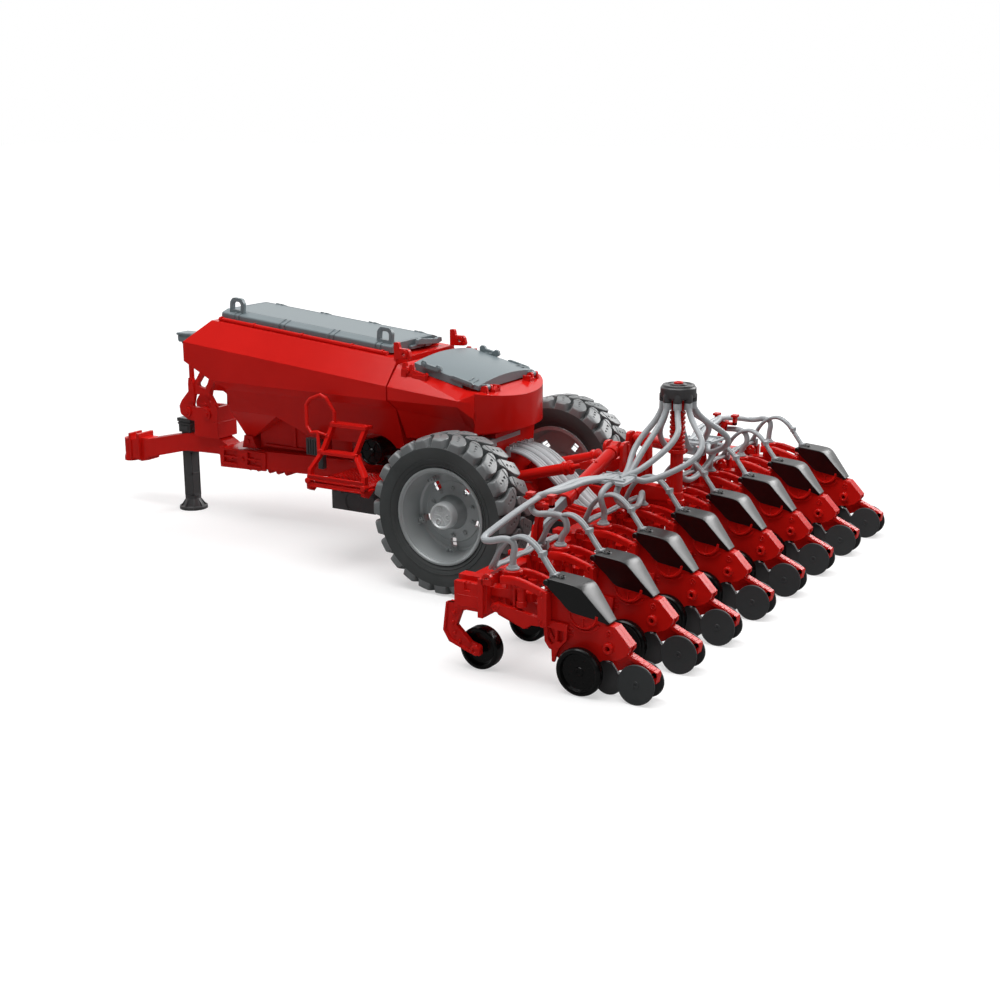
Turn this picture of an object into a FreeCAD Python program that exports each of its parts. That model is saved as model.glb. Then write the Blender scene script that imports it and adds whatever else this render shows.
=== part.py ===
import FreeCAD, Part
import math
import os

V = FreeCAD.Vector

# ---------------------------------------------------------------------------
# 1:16 plastic model of a towed eight-row precision seeder.  Millimetres.
# The model is laid out from the road-wheel axle: X forward to the hitch,
# Y to the left, Z up from the floor.  At the end every piece is moved along X
# by -MIDDLE_X, so that the origin is the bottom centre of the whole model.
# ---------------------------------------------------------------------------

# clearances
RUN_GAP = 0.08          # radial play of a wheel or pin in its bore
SIDE_GAP = 0.4          # play beside a wheel, lid or link
SEAT_GAP = 0.3          # play between snapped-together pieces

# road wheels
TYRE_R = 57.5
TYRE_W = 36.0
TYRE_Y = 82.0           # tyre centre plane
RIM_R = 34.0            # bead seat, where the tyre grips the rim
RIM_FLANGE_R = 35.4
HUB_R = 9.0
AXLE_R = 4.0
AXLE_BOX_H = 12.0
AXLE_BOX_L = 22.0

# drawbar and chassis
HITCH_X = 389.5
HITCH_R = 6.2
HITCH_BORE_R = 3.6
HITCH_Z0 = 35.0
HITCH_Z1 = 55.0
NECK_X = 366.0          # where the hitch head meets the beam
BEND_X = 317.0          # top of the swan neck
KNEE_X = 272.0          # where the straight beam starts
BEAM_END_X = 118.0
BEAM_H = 15.5
NECK_HALF_W = 8.0
BEAM_HALF_W = 16.0
RAIL_HALF_W = 24.0      # rear frame, half width
RAIL_T = 7.0
REAR_FRAME_X = -34.0
FRAME_Z0 = 46.0
FRAME_Z1 = 70.0

# parking jack
JACK_X = 320.0
JACK_LEG = 9.5          # side of the square leg
JACK_FOOT_R = 12.0
JACK_TOP_Z = 80.0
JACK_HEAD = 12.6        # side of the square head above the beam

# front tank
TANK_X0 = 75.0
TANK_X1 = 272.5
TANK_HALF_W = 54.0
TANK_TOP_HALF_W = 38.0
TANK_TOP_X1 = 255.0
TANK_SLOPE = 0.0925     # fall of the top towards the rear
BELT_Z1 = 155.5         # belt line at the front
TANK_TOP_Z1 = 172.0     # top edge at the front
TANK_FLOOR_Z = 126.5    # lower edge of the belt
TANK_NOSE_Z = 140.0
TANK_NOSE_X = 245.0
WALL = 1.8
TANK_KINK_HALF_W = 41.5  # foot of the inward chamfer under the belt
TANK_KINK_Z = 118.0
SUMP_X1 = 165.0         # flat bottom of the tank's rear funnel
SUMP_HALF_W = 30.0
SUMP_Z = 85.0
FUNNEL_X0 = 242.0       # outlet of the front funnel
FUNNEL_X1 = 248.5
FUNNEL_HALF_W = 9.0
FUNNEL_Z = 72.0
FUNNEL_MID_X = 196.0    # where the funnel leaves the sloping tank bottom
FUNNEL_MID_Z = 99.0
FUNNEL_MID_HALF_W = 34.0
ARCH_X = 100.5          # round recess over the fan
ARCH_Z = 75.0
ARCH_R = 20.0
BRACKET_HALF_W = 12.0   # front bracket under the tank's nose
MOUTH_X0 = 92.0
MOUTH_X1 = 243.0
MOUTH_HALF_W = 25.0
COLLAR_H = 3.6
RAIL_R = 1.7
GRIP_R = 1.4            # hand loop beside the ladder

# front lid
LID_X0 = 84.5
LID_X1 = 250.5
LID_HALF_W = 31.0
LID_H = 7.0
LID_WALL = 1.6

# rear hopper
HOP_X1 = 74.0
HOP_X0 = 1.0            # rear reference of the top slope
HOP_HALF_W = 54.0
HOP_BACK_HALF_W = 47.3
HOP_TOP_Z1 = 154.0
HOP_TOP_Z0 = 137.5
HOP_FLOOR_Z = 94.0      # lower edge at the joint with the tank
HOP_KNEE_X = 12.8       # rear end of the straight sides
HOP_KNEE_Z = 99.5
HOP_BACK_X = 1.5        # edge of the bulged rear wall
HOP_BACK_Z = 106.5
HOP_BULGE_X = -17.7
HOP_BULGE_Z = 107.5
HOP_LIP_Z = 105.0
HOP_SHOULDER = 2.4      # drop from the lid seat to the shoulder beside it
SADDLE_X0 = -6.0
HLID_X0 = 3.0
HLID_X1 = 58.5
HLID_HALF_W = 40.0
HINGE_X = 0.2           # rear lid pin
HINGE_RISE = 2.6        # above the hopper top
HINGE_YS = (33.0, -33.0)
HINGE_PIN_R = 1.2

# toolbar
ROW_SPACING = 59.0
ROWS = 8
BAR_X1 = -90.0
BAR_W = 17.0
BAR_Z0 = 41.0
BAR_H = 16.0
BAR_WALL = 2.0
FOLD_Y = 2 * ROW_SPACING    # wing fold axis, between rows 2 and 3
FOLD_RISE = 4.0         # fold axis above the bar
FOLD_GAP = 0.8
BAR_OVERHANG = 10.5     # bar beyond the outer rows

# lift linkage
LIFT_X = -27.0          # hinge of the toolbar on the chassis
LIFT_Z = 56.0
LINK_Y = 22.0
TOP_LINK_X0 = -14.0     # chassis pin of the top links
TOP_LINK_Z0 = 72.0
TOWER_Z = 90.6          # tower pin of the top links
LINK_X1 = -82.0
TOWER_TOP_Z = 108.0
PIN_R = 1.5
LINK_EYE_W = 5.0
LINK_BARREL_R = 3.0
LINK_ROD_R = 2.0

# fold cylinders
FOLD_CYL_X = -98.0
FOLD_CYL_Y0 = 19.0
FOLD_CYL_Z0 = 103.0
FOLD_PIN_Y = 126.0
FOLD_PIN_Z = 72.0
FOLD_BARREL_R = 4.6
FOLD_BAR_W = 6.8        # flat ram, height and thickness
FOLD_BAR_T = 3.8

# distributor
MAST_X = -136.5
MAST_R = 4.6
HEAD_R = 12.8
BELLOWS_Z = 104.0       # start of the corrugated part
BELLOWS_PITCH = 3.4
HEAD_Z0 = 138.0
HEAD_Z1 = 150.0

# row unit
ARM_Y = 9.0
ARM_T = 2.6
HEAD_X = -149.0
PLATE_Y0 = 1.9
PLATE_T = 2.6
GAUGE_X = -176.2
GAUGE_R = 15.0
GAUGE_W = 6.0
GAUGE_Y = 10.6
CLOSE_X = -211.3
CLOSE_R = 12.0
CLOSE_Y = 6.4
CLOSE_CAMBER = 8.0
CLOSE_T = 1.6
TAIL_HALF_W = 2.6
FLANGE_X = -124.5
FLANGE_Z = 66.0
METER_X = -176.0
METER_Z = 50.0
METER_R = 10.0
METER_HALF_W = 7.4
HOOD_HALF_W = 9.0
HOOD_WALL = 1.2
PRESS_X = -190.5
PRESS_R = 9.8
SUPPORT_X = -102.0
SUPPORT_R = 13.6
SUPPORT_W = 8.8

# hoses
HOSE_D = 4.6
HOSE_PITCH = 5.2        # hoses side by side in the union and the clip
HOSE_OUT_R = 10.2       # circle of the eight outlets under the head
UNION_X = -124.3        # middle of the moulded union
UNION_Y = 66.0
UNION_Z = 95.0
CLIP_X = -111.0         # middle of the fork that holds two hoses on the wing
CLIP_Z = 96.5
CLIP_R = 1.2
BUNDLE_SIZES = (2.4, 2.4, 2.4, 2.4, 5.6, 5.6, 2.4, 2.4, 2.4)
BUNDLE_GAP = 0.3
BUNDLE_HALF_W = 15.4

MIDDLE_X = (HITCH_X + HITCH_R + CLOSE_X - CLOSE_R) / 2
ROW_Y = [(ROWS - 1) / 2 * ROW_SPACING - k * ROW_SPACING for k in range(ROWS)]
LEFT_ROWS = [k for k in range(ROWS) if ROW_Y[k] > FOLD_Y]
RIGHT_ROWS = [k for k in range(ROWS) if ROW_Y[k] < -FOLD_Y]
CENTRE_ROWS = [k for k in range(ROWS) if abs(ROW_Y[k]) <= FOLD_Y]
BAR_END_Y = ROW_Y[0] + BAR_OVERHANG
BAR_X0 = BAR_X1 - BAR_W
BAR_Z1 = BAR_Z0 + BAR_H
FOLD_Z = BAR_Z1 + FOLD_RISE


# ---------------------------------------------------------------------------
# shape helpers
# ---------------------------------------------------------------------------
def fuse(shapes):
    """One solid from shapes that overlap or touch."""
    shapes = list(shapes)
    if len(shapes) == 1:
        return shapes[0]
    return shapes[0].multiFuse(shapes[1:]).removeSplitter()


def box(x0, x1, y0, y1, z0, z1):
    return Part.makeBox(abs(x1 - x0), abs(y1 - y0), abs(z1 - z0), V(min(x0, x1), min(y0, y1), min(z0, z1)))


def rod(start, end, radius):
    """Round bar between two points."""
    a, b = V(*start), V(*end)
    return Part.makeCylinder(radius, (b - a).Length, a, b - a)


def pin_y(x, y0, y1, z, radius):
    """Round bar along Y."""
    return rod((x, min(y0, y1), z), (x, max(y0, y1), z), radius)


def pin_x(x0, x1, y, z, radius):
    return rod((min(x0, x1), y, z), (max(x0, x1), y, z), radius)


def pin_z(x, y, z0, z1, radius):
    return rod((x, y, min(z0, z1)), (x, y, max(z0, z1)), radius)


def outline(corners, radius, place):
    """Closed wire through 2-D corners, each rounded by radius (or its own
    radius as a third value), laid in space by place(u, v)."""
    count = len(corners)
    starts, ends, arcs = [], [], []
    for i in range(count):
        prev, here, nxt = corners[i - 1], corners[i], corners[(i + 1) % count]
        r = here[2] if len(here) > 2 else radius
        p = V(here[0], here[1], 0)
        a = (V(prev[0], prev[1], 0) - p)
        b = (V(nxt[0], nxt[1], 0) - p)
        la, lb = a.Length, b.Length
        a.normalize()
        b.normalize()
        angle = a.getAngle(b)
        cut = r / math.tan(angle / 2) if r > 0 else 0.0
        cut = min(cut, 0.48 * la, 0.48 * lb)
        if cut < 1e-4 or angle > math.pi - 0.02:
            starts.append(p)
            ends.append(p)
            arcs.append(None)
            continue
        r = cut * math.tan(angle / 2)
        s, e = p + a * cut, p + b * cut
        bis = a + b
        bis.normalize()
        centre = p + bis * (r / math.sin(angle / 2))
        mid = centre - bis * r
        starts.append(s)
        ends.append(e)
        arcs.append(mid)
    edges = []
    for i in range(count):
        j = (i + 1) % count
        if arcs[i] is not None:
            edges.append(Part.Arc(place(starts[i].x, starts[i].y), place(arcs[i].x, arcs[i].y),
                                  place(ends[i].x, ends[i].y)).toShape())
        if (starts[j] - ends[i]).Length > 1e-6:
            edges.append(Part.LineSegment(place(ends[i].x, ends[i].y),
                                          place(starts[j].x, starts[j].y)).toShape())
    return Part.Wire(edges)


def side_plate(corners, y0, y1, radius=0.0):
    """Plate whose outline is in XZ, from y0 to y1."""
    wire = outline(corners, radius, lambda u, v: V(u, min(y0, y1), v))
    return Part.Face(wire).extrude(V(0, abs(y1 - y0), 0))


def cross_plate(corners, x0, x1, radius=0.0):
    """Plate whose outline is in YZ, from x0 to x1."""
    wire = outline(corners, radius, lambda u, v: V(min(x0, x1), u, v))
    return Part.Face(wire).extrude(V(abs(x1 - x0), 0, 0))


def mirrored(shape):
    return shape.mirror(V(0, 0, 0), V(0, 1, 0))


def both_sides(shape):
    return [shape, mirrored(shape)]


def frustum(lower, upper, z0, z1):
    """Solid between two level rectangles given as (x0, x1, half_width)."""
    wires = []
    for (x0, x1, w), z in ((lower, z0), (upper, z1)):
        points = [V(x0, -w, z), V(x1, -w, z), V(x1, w, z), V(x0, w, z), V(x0, -w, z)]
        wires.append(Part.makePolygon(points))
    return Part.makeLoft(wires, True, True)


def stacked(levels):
    """Solid through level rectangles given as (x0, x1, half_width, z)."""
    wires = []
    for x0, x1, w, z in levels:
        points = [V(x0, -w, z), V(x1, -w, z), V(x1, w, z), V(x0, w, z), V(x0, -w, z)]
        wires.append(Part.makePolygon(points))
    return Part.makeLoft(wires, True, True)


def slanted(start, end, along, across):
    """Flat bar between two heights; its ends are level rectangles."""
    wires = []
    for x, y, z in (start, end):
        a, b = along / 2, across / 2
        points = [V(x - a, y - b, z), V(x + a, y - b, z), V(x + a, y + b, z), V(x - a, y + b, z),
                  V(x - a, y - b, z)]
        wires.append(Part.makePolygon(points))
    return Part.makeLoft(wires, True, True)


def turned(profile, centre, axis):
    """Solid of revolution: profile gives (radius, distance along the axis)."""
    points = [V(r, 0, h) for r, h in profile]
    face = Part.Face(Part.makePolygon(points + [points[0]]))
    solid = face.revolve(V(0, 0, 0), V(0, 0, 1), 360)
    turn = FreeCAD.Rotation(V(0, 0, 1), V(*axis))
    solid.Placement = FreeCAD.Placement(V(*centre), turn)
    return solid


def hose(points, diameter):
    """Tube along straight runs joined by tangent arcs."""
    pts = [V(*p) for p in points]
    edges = []
    last = pts[0]
    for i in range(1, len(pts) - 1):
        p = pts[i]
        a, b = pts[i - 1] - p, pts[i + 1] - p
        run = min(a.Length, b.Length)
        a.normalize()
        b.normalize()
        cut = 0.45 * run
        s, e = p + a * cut, p + b * cut
        angle = a.getAngle(b)
        bis = a + b
        bis.normalize()
        r = cut * math.tan(angle / 2)
        centre = p + bis * (r / math.sin(angle / 2))
        if (s - last).Length > 1e-6:
            edges.append(Part.LineSegment(last, s).toShape())
        edges.append(Part.Arc(s, centre - bis * r, e).toShape())
        last = e
    edges.append(Part.LineSegment(last, pts[-1]).toShape())
    path = Part.Wire(edges)
    circle = Part.Circle(pts[0], pts[1] - pts[0], diameter / 2).toShape()
    return path.makePipeShell([Part.Wire([circle])], True, False)


def save(name, solids):
    """Write one node, moved to the model's own origin."""
    if not isinstance(solids, (list, tuple)):
        solids = [solids]
    pieces = []
    for shape in solids:
        pieces += shape.Solids
    shape = pieces[0] if len(pieces) == 1 else Part.makeCompound(pieces)
    shape = shape.copy()
    shape.translate(V(-MIDDLE_X, 0, 0))
    shape.exportStep("parts/%s.step" % name)


os.makedirs("parts", exist_ok=True)


# ---------------------------------------------------------------------------
# chassis: hitch head, swan-neck drawbar, straight beam and rear frame
# ---------------------------------------------------------------------------
NECK_Z0, NECK_Z1 = 40.5, 56.5       # beam at the hitch head
CREST_Z0, CREST_Z1 = 52.5, 67.5     # beam at the top of the swan neck
KNEE_Z0, KNEE_Z1 = 47.0, 62.0       # beam where it becomes straight
BEAM_RISE = 5.0                     # the straight beam climbs to the rear


def build_chassis():
    head = turned([(HITCH_BORE_R, 0), (HITCH_R, 0), (HITCH_R, 3), (HITCH_R - 0.8, 6),
                   (HITCH_R - 0.8, HITCH_Z1 - HITCH_Z0), (HITCH_BORE_R, HITCH_Z1 - HITCH_Z0)],
                  (HITCH_X, 0, HITCH_Z0), (0, 0, 1))
    cheek = side_plate([(HITCH_X - 4.6, 38.5), (HITCH_X - 4.6, 53.5), (NECK_X + 6, 57.5),
                        (NECK_X - 3, 57.5),
                        (NECK_X - 3, 38.5), (NECK_X + 6, 36.5)], -6.2, 6.2, 1.0)
    neck_bore = pin_z(HITCH_X, 0, HITCH_Z0 - 1, HITCH_Z1 + 1, HITCH_BORE_R)
    neck_clear = pin_z(HITCH_X, 0, HITCH_Z0 - 1, HITCH_Z1 + 1, HITCH_R - 1.2)
    swan = side_plate([(NECK_X, NECK_Z0), (NECK_X, NECK_Z1), (BEND_X, CREST_Z1, 10),
                       (KNEE_X + 9, CREST_Z1, 6),
                       (KNEE_X - 1, KNEE_Z1, 3), (KNEE_X - 1, KNEE_Z0, 2), (KNEE_X + 9, CREST_Z0 + 1, 5),
                       (BEND_X, CREST_Z0, 10)], -NECK_HALF_W, NECK_HALF_W)
    splice = frustum((KNEE_X - 24, KNEE_X + 3, NECK_HALF_W + 0.5),
                     (KNEE_X - 24, KNEE_X + 3, NECK_HALF_W + 0.5),
                     KNEE_Z0, KNEE_Z1)
    top0, top1 = KNEE_Z1, KNEE_Z1 + BEAM_RISE
    beam = side_plate([(KNEE_X, KNEE_Z0), (KNEE_X, top0), (BEAM_END_X, top1), (BEAM_END_X, top1 - BEAM_H)],
                      -BEAM_HALF_W, BEAM_HALF_W, 0.8)
    inner = side_plate([(KNEE_X - 3, KNEE_Z0 - 4), (KNEE_X - 3, top0 - 2.2), (BEAM_END_X + 3, top1 - 2.2),
                        (BEAM_END_X + 3, top1 - BEAM_H - 4)], -BEAM_HALF_W + 2.4, BEAM_HALF_W - 2.4)
    beam = beam.cut(inner)
    pockets = []
    for centre in (262.0, 243.0):
        base = KNEE_Z0 + (KNEE_X - centre) * BEAM_RISE / (KNEE_X - BEAM_END_X)
        for low in (2.6, 8.6):
            pocket = box(centre - 6.5, centre + 6.5, BEAM_HALF_W - 1.0, BEAM_HALF_W + 1, base + low,
                         base + low + 4.2)
            pockets += both_sides(pocket)
    beam = beam.cut(Part.makeCompound(pockets))
    rails = []
    side = side_plate([(BEAM_END_X + 14, 50), (BEAM_END_X + 14, 67), (40, FRAME_Z1, 4),
                       (REAR_FRAME_X + 4, FRAME_Z1, 3),
                       (REAR_FRAME_X, FRAME_Z1 - 5, 2), (REAR_FRAME_X, FRAME_Z0 + 2, 2), (30, FRAME_Z0, 4)],
                      RAIL_HALF_W - RAIL_T, RAIL_HALF_W)
    rails += both_sides(side)
    bridges = [box(BEAM_END_X, BEAM_END_X + 14, -RAIL_HALF_W, RAIL_HALF_W, 52, 67),
               box(40, 46, -RAIL_HALF_W + RAIL_T, RAIL_HALF_W - RAIL_T, 50, 68),
               box(-14, -8, -RAIL_HALF_W + RAIL_T, RAIL_HALF_W - RAIL_T, 50, 68),
               box(-12, 12, -RAIL_HALF_W + RAIL_T, RAIL_HALF_W - RAIL_T, 66, 70)]
    posts = []
    for x in (150.0,):
        posts.append(box(x - 10, x + 10, -11, 11, 65, 66.5))
    ear_y = LINK_Y - max(LINK_EYE_W / 2, LINK_BARREL_R) - SIDE_GAP
    slot_y = LINK_Y + max(LINK_EYE_W / 2, LINK_BARREL_R) + SIDE_GAP
    ear = side_plate([(TOP_LINK_X0 - 8, FRAME_Z1 - 2), (TOP_LINK_X0 + 12, FRAME_Z1 - 2),
                      (TOP_LINK_X0 + 5, TOP_LINK_Z0 + 4, 3), (TOP_LINK_X0 - 4, TOP_LINK_Z0 + 4, 3)],
                      ear_y - 3, ear_y)
    link_pin = pin_y(TOP_LINK_X0, ear_y - 2, LINK_Y + LINK_EYE_W / 2 + 1, TOP_LINK_Z0, PIN_R)
    ears = both_sides(ear) + both_sides(link_pin)
    slot = box(TOP_LINK_X0 - 7, TOP_LINK_X0 + 7, ear_y, slot_y, FRAME_Z1 - 5, FRAME_Z1 + 1)
    slots = both_sides(slot)
    saddle = frustum((SADDLE_X0, 62, 20), (SADDLE_X0 + 2, 60, 30), 69, 108)
    saddle = saddle.cut(frustum((SADDLE_X0 + 3, 59, 17), (SADDLE_X0 + 5, 57, 27), 68, 109))
    above = side_plate([(90, HOP_FLOOR_Z - SEAT_GAP), (HOP_X1, HOP_FLOOR_Z - SEAT_GAP),
                        (HOP_KNEE_X, HOP_KNEE_Z - SEAT_GAP),
                        (HOP_BACK_X, HOP_LIP_Z - SEAT_GAP), (-40, HOP_LIP_Z - SEAT_GAP), (-40, 140),
                        (90, 140)], -60, 60)
    saddle = saddle.cut(above)
    rails = [rail.cut(Part.makeCompound(slots)) for rail in rails]
    chassis = fuse([head, cheek.cut(neck_clear), swan, splice,
                    beam] + rails + bridges + posts + ears + [saddle])
    chassis = chassis.cut(neck_bore)
    hole = JACK_LEG / 2 + SEAT_GAP
    chassis = chassis.cut(box(JACK_X - hole, JACK_X + hole, -hole, hole, 40, 80))
    chassis = chassis.cut(pin_y(LIFT_X, -60, 60, LIFT_Z, PIN_R + RUN_GAP))
    chassis = chassis.cut(box(-AXLE_BOX_L / 2, AXLE_BOX_L / 2, -60, 60, TYRE_R - AXLE_BOX_H / 2,
                              TYRE_R + AXLE_BOX_H / 2))
    return chassis


def build_axle():
    """Square axle beam with a round stub for each wheel."""
    z0 = TYRE_R - AXLE_BOX_H / 2
    stub_end = TYRE_Y + 12
    beam = box(-AXLE_BOX_L / 2, AXLE_BOX_L / 2, -RAIL_HALF_W - 26, RAIL_HALF_W + 26, z0, z0 + AXLE_BOX_H)
    collar = [pin_y(0, s * 49, s * 62, TYRE_R, 8.5) for s in (1, -1)]
    stubs = [pin_y(0, s * 49, s * stub_end, TYRE_R, AXLE_R) for s in (1, -1)]
    return fuse([beam] + collar + stubs)


save("chassis_frame", build_chassis())
save("axle", build_axle())


# ---------------------------------------------------------------------------
# road wheels: a rim that turns on the axle stub and the tyre on it
# ---------------------------------------------------------------------------
def build_rim(side):
    bore = AXLE_R + RUN_GAP
    outer = [(RIM_FLANGE_R, 16), (RIM_FLANGE_R, 14.6), (RIM_R - 0.2, 14.6), (RIM_R - 0.6, 10), (31.6, 6),
             (31.0, -4),
             (RIM_R - 0.6, -10), (RIM_R - 0.2, -14.6), (RIM_FLANGE_R, -14.6), (RIM_FLANGE_R, -16),
             (32.6, -16),
             (31.6, -11), (29.4, -6), (27, -5.5), (12.5, -3.4), (11, -14), (bore, -14)]
    front = [(bore, 12.4), (0, 12.4), (0, 16), (HUB_R - 1, 16), (HUB_R, 15), (HUB_R + 0.4, 8), (12.6, -0.6),
             (27, -2.8), (28.8, -1.6), (29.2, 4), (31.4, 12), (32.8, 16)]
    rim = turned(outer + front, (0, side * TYRE_Y, TYRE_R), (0, side, 0))
    slots = []
    for i in range(5):
        slot = box(-2.4, 2.4, TYRE_Y - 8, TYRE_Y + 2, 19.5, 26.0)
        slot.rotate(V(0, 0, 0), V(0, 1, 0), 72 * i + 36)
        slot.translate(V(0, 0, TYRE_R))
        slots.append(slot if side > 0 else mirrored(slot))
    return rim.cut(Part.makeCompound(slots))


def build_tyre(side):
    w = TYRE_W / 2
    half = [(RIM_R + 0.06, 14.4), (RIM_FLANGE_R + 1.4, 14.8), (40, w - 1), (46, w), (51.5, w - 0.6),
            (55.5, w - 2.5),
            (TYRE_R, w - 6)]
    profile = half + [(r, -h) for r, h in reversed(half)]
    return turned(profile, (0, side * TYRE_Y, TYRE_R), (0, side, 0))


for side_name, side in (("left", 1), ("right", -1)):
    save("rim_" + side_name, build_rim(side))
    save("tyre_" + side_name, build_tyre(side))


# ---------------------------------------------------------------------------
# parking jack: one square leg that slides in the beam, with its foot and head
# ---------------------------------------------------------------------------
def build_jack():
    half = JACK_LEG / 2
    foot = turned([(0, 0), (JACK_FOOT_R, 0), (JACK_FOOT_R, 1.6), (JACK_FOOT_R - 3, 3.2), (6, 9), (6, 12),
                   (0, 12)],
                  (JACK_X, 0, 0), (0, 0, 1))
    leg = box(JACK_X - half, JACK_X + half, -half, half, 5, CREST_Z1 + SEAT_GAP + 2)
    h = JACK_HEAD / 2
    head = box(JACK_X - h, JACK_X + h, -h, h, CREST_Z1 + SEAT_GAP, JACK_TOP_Z - 2)
    cap = box(JACK_X - h - 0.8, JACK_X + h + 0.8, -h - 0.8, h + 0.8, JACK_TOP_Z - 3, JACK_TOP_Z)
    return fuse([foot, leg, head, cap])


save("parking_jack", build_jack())


# ---------------------------------------------------------------------------
# front tank: hollow, with its two funnels, and the lid hinged on the right
# ---------------------------------------------------------------------------
SLOPE_DEG = math.degrees(math.atan(TANK_SLOPE))


def belt_z(x):
    return BELT_Z1 - (TANK_X1 - x) * TANK_SLOPE


def top_z(x):
    return TANK_TOP_Z1 - (TANK_TOP_X1 - x) * TANK_SLOPE


def tilted(shape):
    """Turn a piece built level at the front top edge into the slope of the top."""
    shape = shape.copy()
    shape.rotate(V(TANK_TOP_X1, 0, TANK_TOP_Z1), V(0, 1, 0), -SLOPE_DEG)
    return shape


def tank_form(inset):
    """Solid inside the tank's outer faces, moved in by inset."""
    corners = [(TANK_X1, TANK_NOSE_Z), (TANK_X1, BELT_Z1), (TANK_TOP_X1, TANK_TOP_Z1),
               (TANK_X0, top_z(TANK_X0)),
               (TANK_X0, TANK_FLOOR_Z), (TANK_NOSE_X, TANK_FLOOR_Z)]
    wire = Part.makePolygon([V(x, 0, z) for x, z in corners + corners[:1]])
    if inset:
        wire = wire.makeOffset2D(-inset)
    half = TANK_HALF_W - inset
    wire.translate(V(0, -half, 0))
    body = Part.Face(wire).extrude(V(0, 2 * half, 0))
    rise = top_z(0) - belt_z(0)
    run = TANK_HALF_W - TANK_TOP_HALF_W
    slant = math.hypot(rise, run)
    ny, nz = rise / slant, run / slant
    x = TANK_X1 + 20
    low = (TANK_HALF_W + run - inset * ny, belt_z(x) - rise - inset * nz)
    high = (TANK_TOP_HALF_W - run - inset * ny, top_z(x) + rise - inset * nz)
    far = (low[0] + 40, high[1])
    face = Part.Face(Part.makePolygon([V(x, y, z) for y, z in (low, high, far, low)]))
    wedge = face.extrude(V(-240, 0, -240 * TANK_SLOPE))
    body = body.cut(Part.makeCompound(both_sides(wedge)))
    side = inset * 1.15
    top = TANK_FLOOR_Z + inset + 0.1 if inset else TANK_FLOOR_Z
    belly = stacked([(TANK_X0 + inset, TANK_NOSE_X - 2 * inset, TANK_HALF_W - 2 * side, top),
                     (TANK_X0 + inset, TANK_NOSE_X - 5 - 2 * side, TANK_KINK_HALF_W - side, TANK_KINK_Z),
                     (TANK_X0 + inset, SUMP_X1 - side, SUMP_HALF_W - side, SUMP_Z + inset)])
    funnel = stacked([(FUNNEL_MID_X - 26 + inset, TANK_NOSE_X - 4 - side, TANK_KINK_HALF_W - 0.4 - side,
                       TANK_KINK_Z),
                      (FUNNEL_MID_X + side, FUNNEL_X0 + 1.5 - side, FUNNEL_MID_HALF_W - side, FUNNEL_MID_Z),
                      (FUNNEL_X0 + side, FUNNEL_X1 - side, FUNNEL_HALF_W - side, FUNNEL_Z + inset)])
    arch = pin_y(ARCH_X, -TANK_HALF_W, TANK_HALF_W, ARCH_Z, ARCH_R + inset)
    return fuse([body, belly.cut(arch), funnel])


def build_tank():
    outer = tank_form(0.0)
    inner = tank_form(WALL)
    z = TANK_TOP_Z1
    collar = box(MOUTH_X0 - WALL, MOUTH_X1 + WALL, -MOUTH_HALF_W - WALL, MOUTH_HALF_W + WALL, z - 1,
                 z + COLLAR_H)
    mouth = box(MOUTH_X0, MOUTH_X1, -MOUTH_HALF_W, MOUTH_HALF_W, z - 6, z + COLLAR_H + 1)
    tank = fuse([outer, tilted(collar)]).cut(inner).cut(tilted(mouth))
    extras = []
    for s in (1, -1):
        y = s * (LID_HALF_W + RAIL_R + 1.3)
        rail = pin_x(MOUTH_X0 - 6, MOUTH_X1 + 7, y, z + RAIL_R - 0.3, RAIL_R)
        extras.append(tilted(rail))
        for x in (MOUTH_X0 - 2, 118, 166, 214, MOUTH_X1 + 4):
            extras.append(tilted(pin_x(x, x + 1.6, y, z + RAIL_R - 0.3, RAIL_R + 0.6)))
    ears = []
    for s in (1, -1):
        plate = side_plate([(TANK_X0, 150), (77, 150), (77, 168, 1), (73, 168, 1), (72, 163.5, 1),
                            (64, 163.5, 2.5),
                            (62, 156, 2), (TANK_X0, 155.4)], s * 36.8, s * 39.8)
        eye = pin_y(68, s * 36, s * 41, 159.6, 3.2)
        hole = pin_y(68, s * 35, s * 44, 159.6, 1.3)
        ears.append(fuse([plate, eye]).cut(hole))
    foot = side_plate([(FUNNEL_X0 - 6, KNEE_Z1 + 1.5), (FUNNEL_X0 - 1, FUNNEL_Z + 2),
                       (FUNNEL_X1 + 0.5, FUNNEL_Z + 2),
                       (FUNNEL_X1 + 3, KNEE_Z1 + 1.5)], -FUNNEL_HALF_W - 3, FUNNEL_HALF_W + 3)
    boss = pin_y(FUNNEL_X1 - 3, -FUNNEL_HALF_W - 4, FUNNEL_HALF_W + 4, KNEE_Z1 + 7, 2.0)
    outlet = box(SUMP_X1 - 25, SUMP_X1 - 5, -10, 10, KNEE_Z1 + BEAM_RISE, SUMP_Z + 1)
    return fuse([tank, foot, boss, outlet] + extras + ears)


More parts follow.
